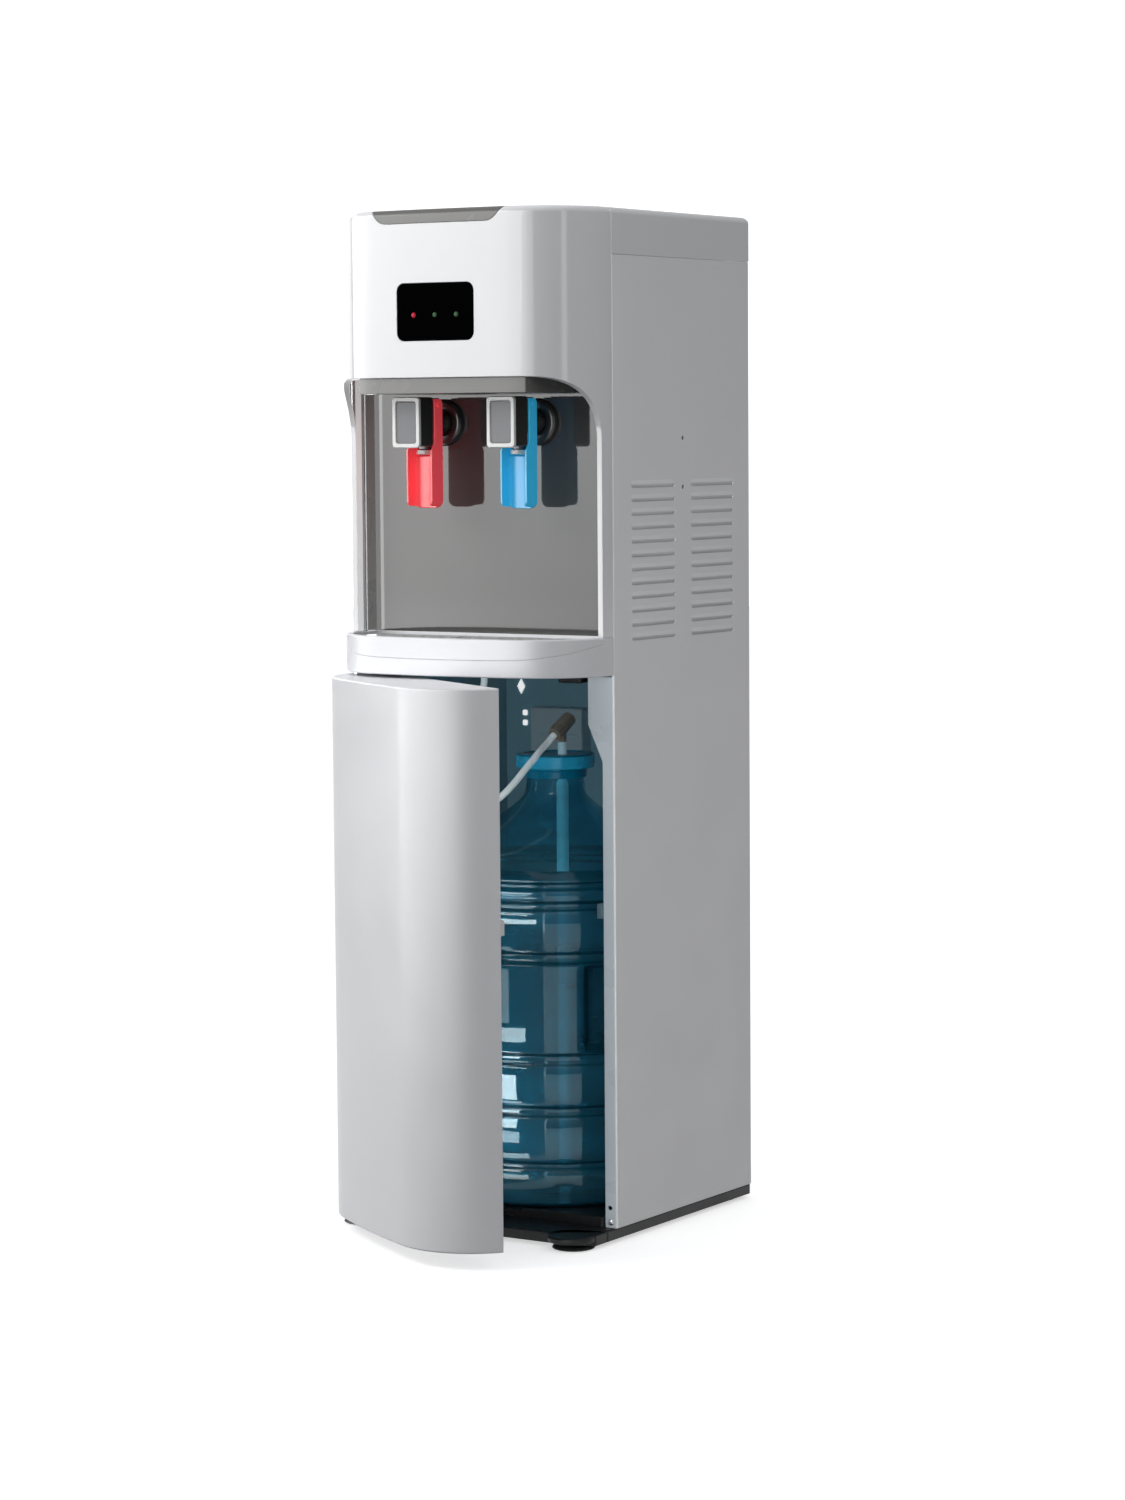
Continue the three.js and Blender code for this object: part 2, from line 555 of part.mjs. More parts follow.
function bottleAndProbe() {
  add('bottle', bottle(), clearBlue);
  add('bottle_cap', bottleCap(), teal);
  add('dip_tube', upright(4.6, PROBE.tubeX, BOTTLE_Y, 48, 496 - GAP, 12), silicone);
  add('probe_head', probeHead(), brown);
  add('hose', hose(), silicone);
  add('hose_fitting', upright(6, -112, 166, 562.3, 570, 12).add(upright(9, -112, 166, 569, SHELF_Z - GAP, 12)), white);
}

// ---- door -----------------------------------------------------------------------------------------
function doorOuter() {
  const shell = prism(frontOutline(0.5, DOOR_BACK), DOOR_FOOT, DOOR_TOP)
    .subtract(prism(frontOutline(DOOR_WALL + 0.5, 10), DOOR_FOOT + 3, DOOR_TOP - 3));
  return shell.subtract(upright(4.4, HINGE.x, HINGE.y, DOOR_FOOT - 5, DOOR_FOOT + 8, 12))
    .subtract(upright(4.4, HINGE.x, HINGE.y, DOOR_TOP - 8, DOOR_TOP + 5, 12));
}

function doorInner() {
  const inset = DOOR_WALL + 0.5 + GAP;
  return prism(frontOutline(inset, 10), DOOR_FOOT + 3.3, DOOR_TOP - 3.3)
    .intersect(box(-HALF, HALF, DOOR_BACK - 3, DOOR_BACK, 0, 600));
}

function door() {
  const leaf = new THREE.Group();
  leaf.position.set(HINGE.x, HINGE.y, 0);
  leaf.rotation.z = THREE.MathUtils.degToRad(-DOOR_OPEN);
  machine.add(leaf);
  const closed = new THREE.Group();
  closed.position.set(-HINGE.x, -HINGE.y, 0);
  leaf.add(closed);
  add('door_outer', doorOuter(), white, closed);
  add('door_inner', doorInner(), white, closed);
  add('door_catch_plate', box(128, 145, DOOR_BACK + GAP, DOOR_BACK + 2, 330, 347), steel, closed);
  add('catch_magnet', box(124, 140.5, -2, 9, 330, 347), black);
  add('hinge_pin_top', upright(4, HINGE.x, HINGE.y, DOOR_TOP - 9, BAND_BOTTOM - GAP, 12), steel);
  add('hinge_pin_bottom', upright(4, HINGE.x, HINGE.y, 7, DOOR_FOOT + 9, 12), steel);
}

head();
recess();
cabinet();
works();
bottleAndProbe();
door();

export default machine;
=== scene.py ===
"""Looks of a floor-standing water dispenser that takes its bottle in the cabinet below the taps.

Shapes are built in millimetres in the machine's own frame, with y = 0 at the seam between the front
housing and the side panels, and place() turns them into the frame's metres.
"""
from math import acos, asin, atan2, cos, degrees, hypot, pi, radians, sin

import bmesh
import bpy
from mathutils import Matrix, Vector


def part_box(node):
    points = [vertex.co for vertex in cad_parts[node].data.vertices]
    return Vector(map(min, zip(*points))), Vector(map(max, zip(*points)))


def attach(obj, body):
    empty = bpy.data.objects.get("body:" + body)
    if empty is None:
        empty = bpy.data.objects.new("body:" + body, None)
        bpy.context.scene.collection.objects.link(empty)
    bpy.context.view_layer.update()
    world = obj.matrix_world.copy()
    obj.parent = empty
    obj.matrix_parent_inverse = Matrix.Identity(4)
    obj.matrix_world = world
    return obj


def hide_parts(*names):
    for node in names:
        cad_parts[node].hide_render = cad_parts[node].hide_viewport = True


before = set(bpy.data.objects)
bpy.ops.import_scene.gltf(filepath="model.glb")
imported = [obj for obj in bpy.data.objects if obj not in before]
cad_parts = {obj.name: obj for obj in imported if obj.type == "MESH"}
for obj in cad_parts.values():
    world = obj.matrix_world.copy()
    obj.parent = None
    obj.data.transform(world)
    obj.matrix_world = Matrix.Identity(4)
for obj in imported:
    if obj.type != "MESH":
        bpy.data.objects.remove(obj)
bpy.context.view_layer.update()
scene = bpy.context.scene

# ---- the machine's frame and driving sizes, from the CAD nodes ----
MM = 0.001
SEAM_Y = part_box("side_panel_right")[0].y
TO_FRAME = Matrix.Translation((0, SEAM_Y, 0)) @ Matrix.Scale(MM, 4)


def turned(angle, axis):
    return Matrix.Rotation(radians(angle), 4, axis)


def at(x, y, z):
    return Matrix.Translation((x, y, z))


def extent(node, axis):
    """Lowest and highest place of a CAD node along one axis, in the machine's millimetres."""
    low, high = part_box(node)
    shift = SEAM_Y if axis == "y" else 0
    return tuple((getattr(corner, axis) - shift) / MM for corner in (low, high))


def middle(node, axis):
    return sum(extent(node, axis)) / 2


def spans(node, axes):
    return [extent(node, axis) for axis in axes]


HALF = extent("side_panel_right", "x")[1]
DEPTH = extent("side_panel_right", "y")[1]
PANEL_FOOT, COVER_SEAM = extent("side_panel_right", "z")
BOW = -extent("front_housing", "y")[0]
TRAY_TOP, HEIGHT = extent("front_housing", "z")
BAND_BOTTOM = extent("drip_tray_base", "z")[0]
DOOR_FOOT, DOOR_TOP = extent("door_outer", "z")
HINGE_X, HINGE_Y = (middle("hinge_pin_top", axis) for axis in "xy")
BOTTLE_R = extent("bottle", "x")[1]
BOTTLE_Y = middle("bottle", "y")
GAP = 0.3
DOOR_OPEN = 32
BOW_RADIUS = 1000

# ---- camera: where the view was taken from ----
CAMERA_PLACE = (2.2067, -3.4112, 0.8317)
CAMERA_TURN = (32.55, 4.82, -0.42)  # yaw, pitch and roll in degrees
SENSOR, LENS = 36.0, 93.33


def make_camera(yaw, pitch, roll):
    data = bpy.data.cameras.new("camera")
    data.sensor_fit = "VERTICAL"
    data.sensor_height = SENSOR
    data.lens = LENS
    camera = bpy.data.objects.new("camera", data)
    camera.matrix_world = at(*CAMERA_PLACE) @ turned(yaw, "Z") @ turned(90 - pitch, "X") @ turned(roll, "Z")
    scene.collection.objects.link(camera)
    scene.camera = camera


make_camera(*CAMERA_TURN)


# ---- materials ----
def shader(name, color, roughness, **settings):
    """A Principled material and its nodes. settings are socket names with _ for a space."""
    material = bpy.data.materials.new(name)
    material.use_nodes = True
    nodes = material.node_tree.nodes
    surface = nodes["Principled BSDF"]
    surface.inputs["Base Color"].default_value = (*color, 1)
    surface.inputs["Roughness"].default_value = roughness
    for key, value in settings.items():
        surface.inputs[key.replace("_", " ")].default_value = value
    return material, nodes, material.node_tree.links, surface


def add(nodes, kind, **settings):
    """A new shader node. settings are socket names with _ for a space."""
    node = nodes.new("ShaderNode" + kind)
    for key, value in settings.items():
        node.inputs[key.replace("_", " ")].default_value = value
    return node


def maths(tools, operation, *operands):
    """The output of a maths node. Operands are numbers, or the outputs that feed it."""
    _, nodes, links, _ = tools
    node = nodes.new("ShaderNodeMath")
    node.operation = operation
    for socket, operand in zip(node.inputs, operands):
        if isinstance(operand, float):
            socket.default_value = operand
        else:
            links.new(operand, socket)
    return node.outputs["Value"]


def place_in_box(nodes, links):
    """The point's place in its object's box, or the direction looked in for a world."""
    split = nodes.new("ShaderNodeSeparateXYZ")
    links.new(nodes.new("ShaderNodeTexCoord").outputs["Generated"], split.inputs["Vector"])
    return split.outputs


def two_tone(nodes, *stops):
    """A ramp between two stops, each a position and a colour."""
    ramp = nodes.new("ShaderNodeValToRGB")
    for element, (position, color) in zip(ramp.color_ramp.elements, stops):
        element.position = position
        element.color = (*color, 1)
    return ramp


def noise(nodes, links, scale, detail, stretch):
    where = nodes.new("ShaderNodeTexCoord")
    mapping = add(nodes, "Mapping", Scale=stretch)
    texture = add(nodes, "TexNoise", Scale=scale, Detail=detail)
    links.new(where.outputs["Object"], mapping.inputs["Vector"])
    links.new(mapping.outputs["Vector"], texture.inputs["Vector"])
    return texture.outputs["Fac"]


def mottle(tools, color, spread, scale, stretch=(1, 1, 1)):
    """Slow drift of the base colour, spread of it each way."""
    _, nodes, links, surface = tools
    dark, light = ([min(1, c * (1 + shift)) for c in color] for shift in (-spread, spread))
    ramp = two_tone(nodes, (0.3, dark), (0.7, light))
    links.new(noise(nodes, links, scale, 4, stretch), ramp.inputs["Fac"])
    links.new(ramp.outputs["Color"], surface.inputs["Base Color"])


def rub(tools, low, high, scale, stretch=(1, 1, 1)):
    """Roughness that wanders between two values."""
    _, nodes, links, surface = tools
    spread = add(nodes, "MapRange", From_Min=0.35, From_Max=0.65, To_Min=low, To_Max=high)
    links.new(noise(nodes, links, scale, 5, stretch), spread.inputs["Value"])
    links.new(spread.outputs["Result"], surface.inputs["Roughness"])


def grain(tools, scale, strength, distance=0.0002, stretch=(1, 1, 1)):
    """Fine bumps of a moulded, sprayed or brushed surface."""
    _, nodes, links, surface = tools
    bump = add(nodes, "Bump", Strength=strength, Distance=distance)
    links.new(noise(nodes, links, scale, 2, stretch), bump.inputs["Height"])
    links.new(bump.outputs["Normal"], surface.inputs["Normal"])


def moulded(name, color, roughness, grain_scale, grain_strength, spread=0.012):
    extras = {}
    if name in SHINE:
        extras["Specular_IOR_Level"] = SHINE[name]
    if name in GLOW:
        extras["Emission_Strength"] = GLOW[name]
    tools = shader(name, color, roughness, **extras)
    mottle(tools, color, spread, 9)
    rub(tools, roughness * 0.85, roughness * 1.15, 14)
    grain(tools, grain_scale, grain_strength)
    return tools[0]


def mirror_material(name, color, level):
    """Dark lacquer whose shine is painted to fade towards the floor and the right: painted shade on the
    panel.
    """
    tools = shader(name, color, 0.05)
    mottle(tools, color, 0.02, 9)
    grain(tools, 200, 0.015)
    _, nodes, links, surface = tools
    where = place_in_box(nodes, links)
    drop = maths(tools, "SUBTRACT", 1.0, where["Z"])
    fade = maths(tools, "MULTIPLY_ADD", where["X"], -0.16, -0.05)
    links.new(maths(tools, "MULTIPLY_ADD", drop, fade, level), surface.inputs["Specular IOR Level"])
    return tools[0]


def lever_material(name, color, glow):
    # The lever glows in its own colour: painted light for the light that shines through its plastic.
    tools = shader(name, color, 0.20, Emission_Strength=glow, Emission_Color=(*color, 1))
    mottle(tools, color, 0.03, 30)
    rub(tools, 0.16, 0.26, 40)
    grain(tools, 700, 0.04)
    return tools[0]


def led_material(name, color, glow):
    tools = shader(name, color, 0.5, Emission_Strength=glow, Emission_Color=(*color, 1),
                   Specular_IOR_Level=0.1)
    mottle(tools, color, 0.3, 500)
    return tools[0]


def brushed_material(name, color, roughness):
    tools = shader(name, color, roughness, Metallic=1.0)
    mottle(tools, color, 0.08, 40, (1, 1, 8))
    rub(tools, roughness * 0.7, roughness * 1.3, 60, (1, 1, 10))
    grain(tools, 400, 0.12, stretch=(1, 1, 14))
    return tools[0]


def tube_material(name, color, roughness):
    # A faint glow in the tube's own colour: painted light that brightens the hose and the dip tube.
    tools = shader(name, color, roughness, Emission_Strength=0.05, Transmission_Weight=0.35, IOR=1.42,
                   Subsurface_Weight=0.2)
    mottle(tools, color, 0.05, 60)
    grain(tools, 300, 0.05)
    return tools[0]


def bottle_material(name, color, clear):
    tools = shader(name, color, 0.03, Transmission_Weight=clear, IOR=1.4)
    mottle(tools, color, 0.14, 12, (1, 1, 3))
    grain(tools, 16, 0.10, 0.002, (1, 1, 2.5))
    return tools[0]


# colour, roughness, scale and strength of the grain, and for some the spread of the colour
MOULDED = {
    "white_gloss": ((0.80, 0.805, 0.82), 0.10, 260, 0.03),
    "white_satin": ((0.78, 0.785, 0.81), 0.36, 1400, 0.10),
    "painted_steel": ((0.76, 0.762, 0.768), 0.42, 1100, 0.22),
    # flange_shaded_steel: the front faces of the side panels' flanges, the panel steel made darker and bluer:
    # painted shade and a painted blue cast from the cabinet.
    "flange_shaded_steel": ((0.42, 0.47, 0.50), 0.30, 900, 0.12),
    # bay_shaded_steel: the steel inside the cabinet, dark and blue: painted shade and painted blue light from
    # the bottle.
    "bay_shaded_steel": ((0.13, 0.25, 0.31), 0.45, 500, 0.15, 0.06),
    "grey_plastic": ((0.33, 0.33, 0.335), 0.30, 1200, 0.10),
    # recess_glow_white: white that glows, painted light on the inner faces of the head's cheeks.
    "recess_glow_white": ((0.9, 0.9, 0.9), 0.30, 900, 0.03),
    # recess_side_glow: grey with a faint glow, painted light on the recess's side walls.
    "recess_side_glow": ((0.34, 0.34, 0.33), 0.30, 900, 0.03),
    "lip_grey": ((0.15, 0.148, 0.143), 0.25, 1200, 0.06),
    "black_plastic": ((0.012, 0.013, 0.014), 0.36, 1300, 0.18),
    "tap_black": ((0.035, 0.033, 0.031), 0.22, 1300, 0.06),
    "display_gloss": ((0.0015, 0.0015, 0.0018), 0.10, 300, 0.01),
    "silver_frame": ((0.74, 0.74, 0.73), 0.22, 800, 0.05),
    "insert_grey": ((0.15, 0.155, 0.165), 0.42, 1500, 0.12),
    "cap_teal": ((0.0, 0.19, 0.33), 0.32, 900, 0.10),
    "cap_rim": ((0.03, 0.48, 0.78), 0.28, 900, 0.06),
    "probe_brown": ((0.22, 0.20, 0.165), 0.45, 1200, 0.12),
    # bay_glow_white: white that glows, painted light on the plugs in the dark cabinet.
    "bay_glow_white": ((0.85, 0.87, 0.87), 0.4, 900, 0.05),
    "bay_plastic": ((0.27, 0.36, 0.40), 0.35, 900, 0.08),
    "tank_foam": ((0.72, 0.70, 0.64), 0.85, 160, 0.5, 0.05),
    "board_green": ((0.01, 0.08, 0.03), 0.4, 700, 0.2, 0.2),
}
SHINE = {"lip_grey": 0.28, "black_plastic": 0.25, "display_gloss": 0.0, "insert_grey": 0.25}
# painted light: these finishes glow though they are no lamps
GLOW = {"recess_glow_white": 0.35, "recess_side_glow": 0.03, "bay_glow_white": 0.6}
# maker, colour and the maker's own value: level, glow, roughness or clearness
SPECIAL = {
    "mirror_panel": (mirror_material, (0.10, 0.10, 0.097), 0.40),
    "lever_red": (lever_material, (0.90, 0.075, 0.095), 0.32),
    "lever_blue": (lever_material, (0.032, 0.40, 0.68), 0.32),
    "led_red": (led_material, (0.36, 0.010, 0.025), 0.5),
    "led_green": (led_material, (0.025, 0.075, 0.03), 0.3),
    "steel": (brushed_material, (0.55, 0.56, 0.57), 0.32),
    "hose": (tube_material, (0.86, 0.93, 0.95), 0.12),
    "dip_tube": (tube_material, (0.22, 0.46, 0.56), 0.35),
    "bottle_blue": (bottle_material, (0.21, 0.64, 0.78), 0.92),
    # bottle_rib: darker blue on the groove flanks and the foot: painted shade.
    "bottle_rib": (bottle_material, (0.015, 0.16, 0.24), 0.5),
}
look = {name: moulded(name, *values) for name, values in MOULDED.items()}
look.update((name, make(name, *values)) for name, (make, *values) in SPECIAL.items())


# ---- solids ----
def new_solid(verts, faces):
    mesh = bpy.data.meshes.new("solid")
    mesh.from_pydata(verts, [], faces)
    work = bmesh.new()
    work.from_mesh(mesh)
    bmesh.ops.remove_doubles(work, verts=work.verts, dist=1e-4)
    bmesh.ops.recalc_face_normals(work, faces=work.faces)
    work.to_mesh(mesh)
    work.free()
    obj = bpy.data.objects.new("solid", mesh)
    scene.collection.objects.link(obj)
    return obj


def loft(rings):
    """Closed loops of the same number of points, skinned in order and closed at both ends."""
    count = len(rings[0])
    verts = [point for ring in rings for point in ring]
    faces = []
    for r in range(len(rings) - 1):
        for i in range(count):
            j = (i + 1) % count
            faces.append((r * count + i, r * count + j, (r + 1) * count + j, (r + 1) * count + i))
    faces.append(tuple(range(count)))
    faces.append(tuple(range((len(rings) - 1) * count, len(rings) * count)))
    return new_solid(verts, faces)


def prism(outline, z0, z1):
    return loft([[(x, y, z) for x, y in outline] for z in (z0, z1)])


def front_prism(outline, y0, y1):
    return loft([[(x, y, z) for x, z in outline] for y in (y0, y1)])


def side_prism(outline, x0, x1):
    return loft([[(x, y, z) for y, z in outline] for x in (x0, x1)])


def block(x0, x1, y0, y1, z0, z1):
    return prism([(x0, y0), (x1, y0), (x1, y1), (x0, y1)], z0, z1)


def circle(radius, steps):
    return arc(0, 0, radius, 0, 360, steps)[:-1]


def arc(x, y, radius, start, end, steps):
    """Points along an arc, with its angles in degrees."""
    turns = [radians(start + (end - start) * i / steps) for i in range(steps + 1)]
    return [(x + radius * cos(a), y + radius * sin(a)) for a in turns]


def lathe(profile, x=0, y=0, steps=96):
    """A closed profile of (radius, height), or one that starts and ends on the axis, turned about Z."""
    count = len(profile)
    closed = profile[0][0] > 0 or profile[-1][0] > 0
    verts = []
    for i in range(steps):
        a = 2 * pi * i / steps
        verts += [(x + r * cos(a), y + r * sin(a), z) for r, z in profile]
    faces = []
    for i in range(steps):
        near, far = i * count, ((i + 1) % steps) * count
        for j in range(count if closed else count - 1):
            k = (j + 1) % count
            faces.append((near + j, near + k, far + k, far + j))
    return new_solid(verts, faces)


def rod(radius, low, high, x=0, y=0, steps=32):
    """A plain round bar about Z."""
    return lathe([(0, low), (radius, low), (radius, high), (0, high)], x, y, steps)


def rounded(x0, x1, z0, z1, radius, steps=8):
    """A rectangle with round corners; radius is one value or four: lower left, lower right, upper
    right, upper left."""
    radii = radius if isinstance(radius, tuple) else (radius,) * 4
    corners = [(x0, z0, 1, 1, 180), (x1, z0, -1, 1, 270), (x1, z1, -1, -1, 0), (x0, z1, 1, -1, 90)]
    points = []
    for (x, z, sx, sz, start), r in zip(corners, radii):
        points += arc(x + sx * r, z + sz * r, r, start, start + 90, steps)
    return points


def settle(obj):
    """Applies the object's modifiers."""
    depsgraph = bpy.context.evaluated_depsgraph_get()
    mesh = bpy.data.meshes.new_from_object(obj.evaluated_get(depsgraph))
    obj.modifiers.clear()
    obj.data = mesh
    return obj


def combine(body, tools, operation):
    for tool in tools:
        modifier = body.modifiers.new("combine", "BOOLEAN")
        modifier.operation = operation
        modifier.solver = "EXACT"
        modifier.object = tool
    settle(body)
    for tool in tools:
        bpy.data.objects.remove(tool)
    return body


def cut(body, *tools):
    return combine(body, tools, "DIFFERENCE")


def keep(body, *tools):
    return combine(body, tools, "INTERSECT")


def fuse(body, *tools):
    return combine(body, tools, "UNION")


def moved(obj, matrix):
    obj.data.transform(matrix)
    return obj


def gather(objs):
    """Several separate solids in one object."""
    work = bmesh.new()
    for obj in objs:
        work.from_mesh(obj.data)
    work.to_mesh(objs[0].data)
    work.free()
    for obj in objs[1:]:
        bpy.data.objects.remove(obj)
    return objs[0]


def soften(obj, width, segments=3, angle=38):
    """Rounds the edges sharper than the angle."""
    modifier = obj.modifiers.new("soften", "BEVEL")
    modifier.limit_method = "ANGLE"
    modifier.angle_limit = radians(angle)
    modifier.width = width
    modifier.segments = segments
    modifier.use_clamp_overlap = False
    return settle(obj)


def smooth(obj, angle=40):
    obj.data.shade_smooth()
    obj.data.set_sharp_from_angle(angle=radians(angle))
    modifier = obj.modifiers.new("normals", "WEIGHTED_NORMAL")
    modifier.keep_sharp = True
    return settle(obj)


def place(obj, name, finish, node=None, body="root", slot=None, angle=40):
    """Finishes a solid as a named piece: shading, the frame's metres, its material and its body.

    node is the CAD node it stands for. slot is not used."""
    smooth(obj, angle)
    obj.data.transform(TO_FRAME)
    obj.name = name
    obj.data.name = name
    obj.data.materials.clear()
    obj.data.materials.append(look[finish])
    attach(obj, body)
    if node:
        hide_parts(node)
    return obj


def second_finish(obj, finish, chosen):
    """Gives the faces whose centre and normal are chosen another material."""
    obj.data.materials.append(look[finish])
    for face in obj.data.polygons:
        centre = face.center / MM
        centre.y -= SEAM_Y / MM
        if chosen(centre, face.normal):
            face.material_index = 1


# ---- the bowed front outline of the head, the tray band and the door ----
CORNER_RADIUS = (2 * BOW * BOW_RADIUS - (HALF ** 2 + BOW ** 2)) / (2 * BOW_RADIUS - 2 * HALF)
MIDDLE_ANGLE = asin((HALF - CORNER_RADIUS) / (BOW_RADIUS - CORNER_RADIUS))
CORNER_X = HALF - CORNER_RADIUS
CORNER_Y = BOW_RADIUS - BOW - (BOW_RADIUS - CORNER_RADIUS) * cos(MIDDLE_ANGLE)


def bowed(inset=0.0, back=0.0, middle_steps=10, corner_steps=26):
    """The outline seen from above, open towards its straight back."""
    middle, corner = BOW_RADIUS - inset, CORNER_RADIUS - inset
    right = []
    for i in range(middle_steps):
        a = MIDDLE_ANGLE * i / middle_steps
        right.append((middle * sin(a), BOW_RADIUS - BOW - middle * cos(a)))
    last = pi / 2 if back > CORNER_Y else acos((CORNER_Y - back) / corner)
    for i in range(corner_steps + 1):
        a = MIDDLE_ANGLE + (last - MIDDLE_ANGLE) * i / corner_steps
        right.append((CORNER_X + corner * sin(a), CORNER_Y - corner * cos(a)))
    if back > CORNER_Y:
        right.append((HALF - inset, back))
    return [(-x, y) for x, y in reversed(right[1:])] + right


def bowed_solid(inset, back, z0, z1, foot_radius=0.0, top_radius=0.0, steps=6):
    """The bowed outline between two heights, with its lower and upper edges rounded."""
    edge = [(1 - q, 1 - p) for p, q in arc(0, 0, 1, 0, 90, steps)]
    foot = [(foot_radius * p, z0 + foot_radius * q) for p, q in edge] if foot_radius else [(0, z0)]
    top = [(top_radius * q, z1 - top_radius * p) for p, q in edge] if top_radius else [(0, z1)]
    return loft([[(x, y, z) for x, y in bowed(inset + grow, back)] for grow, z in foot + top])


# ---- hose: built first, on the route of its CAD tube ----
HOSE_ROUTE = [
    (10.1, 113.7, 504.3), (9, 101.5, 496.3), (9.5, 86, 488.8), (8.8, 76, 481.7), (7, 66, 474.2),
    (4.9, 57, 466.4), (2, 47, 457.5), (-2.5, 37, 448.5), (-10, 29, 440.5), (-23, 22, 433),
    (-42, 18, 427.5), (-65, 18, 425), (-88, 25, 427), (-107, 39, 433), (-119, 59, 443.5),
    (-125, 82, 458.5), (-125, 107, 477.5), (-121, 130, 499), (-116, 149, 519), (-113, 160, 538),
    (-112, 165.2, 551), (-112, 166, 561.6),
]
HOSE_DIAMETER = 7.2


def smooth_path(points, steps=8):
    """Catmull-Rom curve through the points."""
    points = [Vector(p) for p in points]
    ends = [2 * points[0] - points[1], *points, 2 * points[-1] - points[-2]]
    path = []
    for a, b, c, d in zip(ends, ends[1:], ends[2:], ends[3:]):
        for i in range(steps):
            t = i / steps
            path.append(0.5 * ((2 * b) + (c - a) * t + (2 * a - 5 * b + 4 * c - d) * t ** 2
                               + (3 * b - a - 3 * c + d) * t ** 3))
    path.append(points[-1])
    return path


def tube(path, radius, sides=20):
    """A round solid along a path."""
    rings = []
    across = None
    for i, point in enumerate(path):
        ahead = (path[min(i + 1, len(path) - 1)] - path[max(i - 1, 0)]).normalized()
        if across is None:
            across = ahead.orthogonal().normalized()
        across = (across - ahead * across.dot(ahead)).normalized()
        other = ahead.cross(across)
        rings.append([point + (across * x + other * y) for x, y in circle(radius, sides)])
    return loft(rings)


def make_hose():
    path = smooth_path(HOSE_ROUTE)
    hose = place(tube(path, HOSE_DIAMETER / 2), "water_hose", "hose", "hose")


make_hose()

# ---- head ----
TOP_RADIUS = 7
WALL = 6
HEAD_BOTTOM = extent("tap_fascia", "z")[1] + 1
CHEEK_DEPTH = 17
ARCH_RADIUS = 62
WINDOW_X = extent("display_window", "x")[1]
WINDOW_Z = extent("display_window", "z")
INSERT_TOP, INSERT_FOOT = 80, 66
INSERT_Z, INSERT_BACK = extent("top_insert", "z")[0], extent("top_insert", "y")[1]


def arch_outline():
    """Side view of the space under the head, rounded from the cheeks into the head's bottom."""
    y, z = -CHEEK_DEPTH - ARCH_RADIUS, HEAD_BOTTOM - ARCH_RADIUS
    return [(-CHEEK_DEPTH, TRAY_TOP - 30), *arc(y, z, ARCH_RADIUS, 0, 90, 24), (-BOW - 20, HEAD_BOTTOM),
            (-BOW - 20, TRAY_TOP - 30)]


def insert_outline(grow):
    """Front view of the inlay in the head's top edge."""
    top, foot, z, radius = INSERT_TOP + grow, INSERT_FOOT + grow, INSERT_Z - grow, 9
    points = [(top, HEIGHT + 5), (top, HEIGHT)]
    for i in range(9):
        t = i / 8
        corner = Vector((foot + 2, z))
        start, end = corner + Vector((6, 8)), corner + Vector((-radius, 0))
        points.append(tuple((1 - t) ** 2 * start + 2 * t * (1 - t) * corner + t ** 2 * end))
    return points + [(-x, z) for x, z in reversed(points)]


def make_head():
    outer = bowed_solid(0, 0, TRAY_TOP, HEIGHT, top_radius=TOP_RADIUS)
    inner = prism(bowed(WALL, 10), TRAY_TOP - 20, HEIGHT - 4)
    arch = side_prism(arch_outline(), -HALF - 5, HALF + 5)
    window = front_prism(rounded(-WINDOW_X - GAP, WINDOW_X + GAP, WINDOW_Z[0] - GAP, WINDOW_Z[1] + GAP, 8.3),
                         -BOW - 10, -BOW + 20)
    notch = front_prism(insert_outline(GAP), -BOW - 10, INSERT_BACK + GAP)
    head = soften(cut(outer, inner, arch, window, notch), 0.7)
    place(head, "head_housing", "white_gloss", "front_housing")
    # the inner faces of the cheeks glow white: painted light in the recess
    second_finish(head, "recess_glow_white", lambda c, n: n.x * c.x < 0 and abs(n.x) > 0.4
                  and abs(c.x) < HALF - 2 and c.z < HEAD_BOTTOM - 1)
    head.visible_glossy = False

    inlay = front_prism(insert_outline(0), -BOW - 10, INSERT_BACK)
    body = bowed_solid(0.4, 0, HEIGHT - 30, HEIGHT, top_radius=TOP_RADIUS)
    pocket = front_prism(rounded(-60, 60, HEIGHT - 7, HEIGHT + 9, 3), -BOW + 14, INSERT_BACK - 6)
    inlay = soften(cut(keep(inlay, body), pocket), 0.5)
    place(inlay, "head_inlay", "lip_grey", "top_insert")
    # the flat top of the inlay is made black: a painted dark reflection along the head's top edge
    second_finish(inlay, "black_plastic", lambda c, n: c.z > HEIGHT - 1 and n.z > 0.95)


def make_top_cover():
    y0, y1 = extent("top_cover", "y")
    z0 = extent("top_cover", "z")[0]
    across = front_prism(rounded(-HALF, HALF, z0, HEIGHT, (0, 0, TOP_RADIUS, TOP_RADIUS)), y0, y1)
    along = side_prism(rounded(y0 - 1, y1, z0 - 1, HEIGHT, (0, 0, TOP_RADIUS, 0)), -HALF - 5, HALF + 5)
    inner = front_prism(rounded(-HALF + 3, HALF - 3, z0 - 20, HEIGHT - 3, 5), y0 + 3, y1 - 3)
    cover = soften(cut(keep(across, along), inner), 0.6)
    place(cover, "cabinet_top", "white_gloss", "top_cover")


LED_NAMES = {"led_heating": "led_red", "led_power": "led_green", "led_cooling": "led_green"}


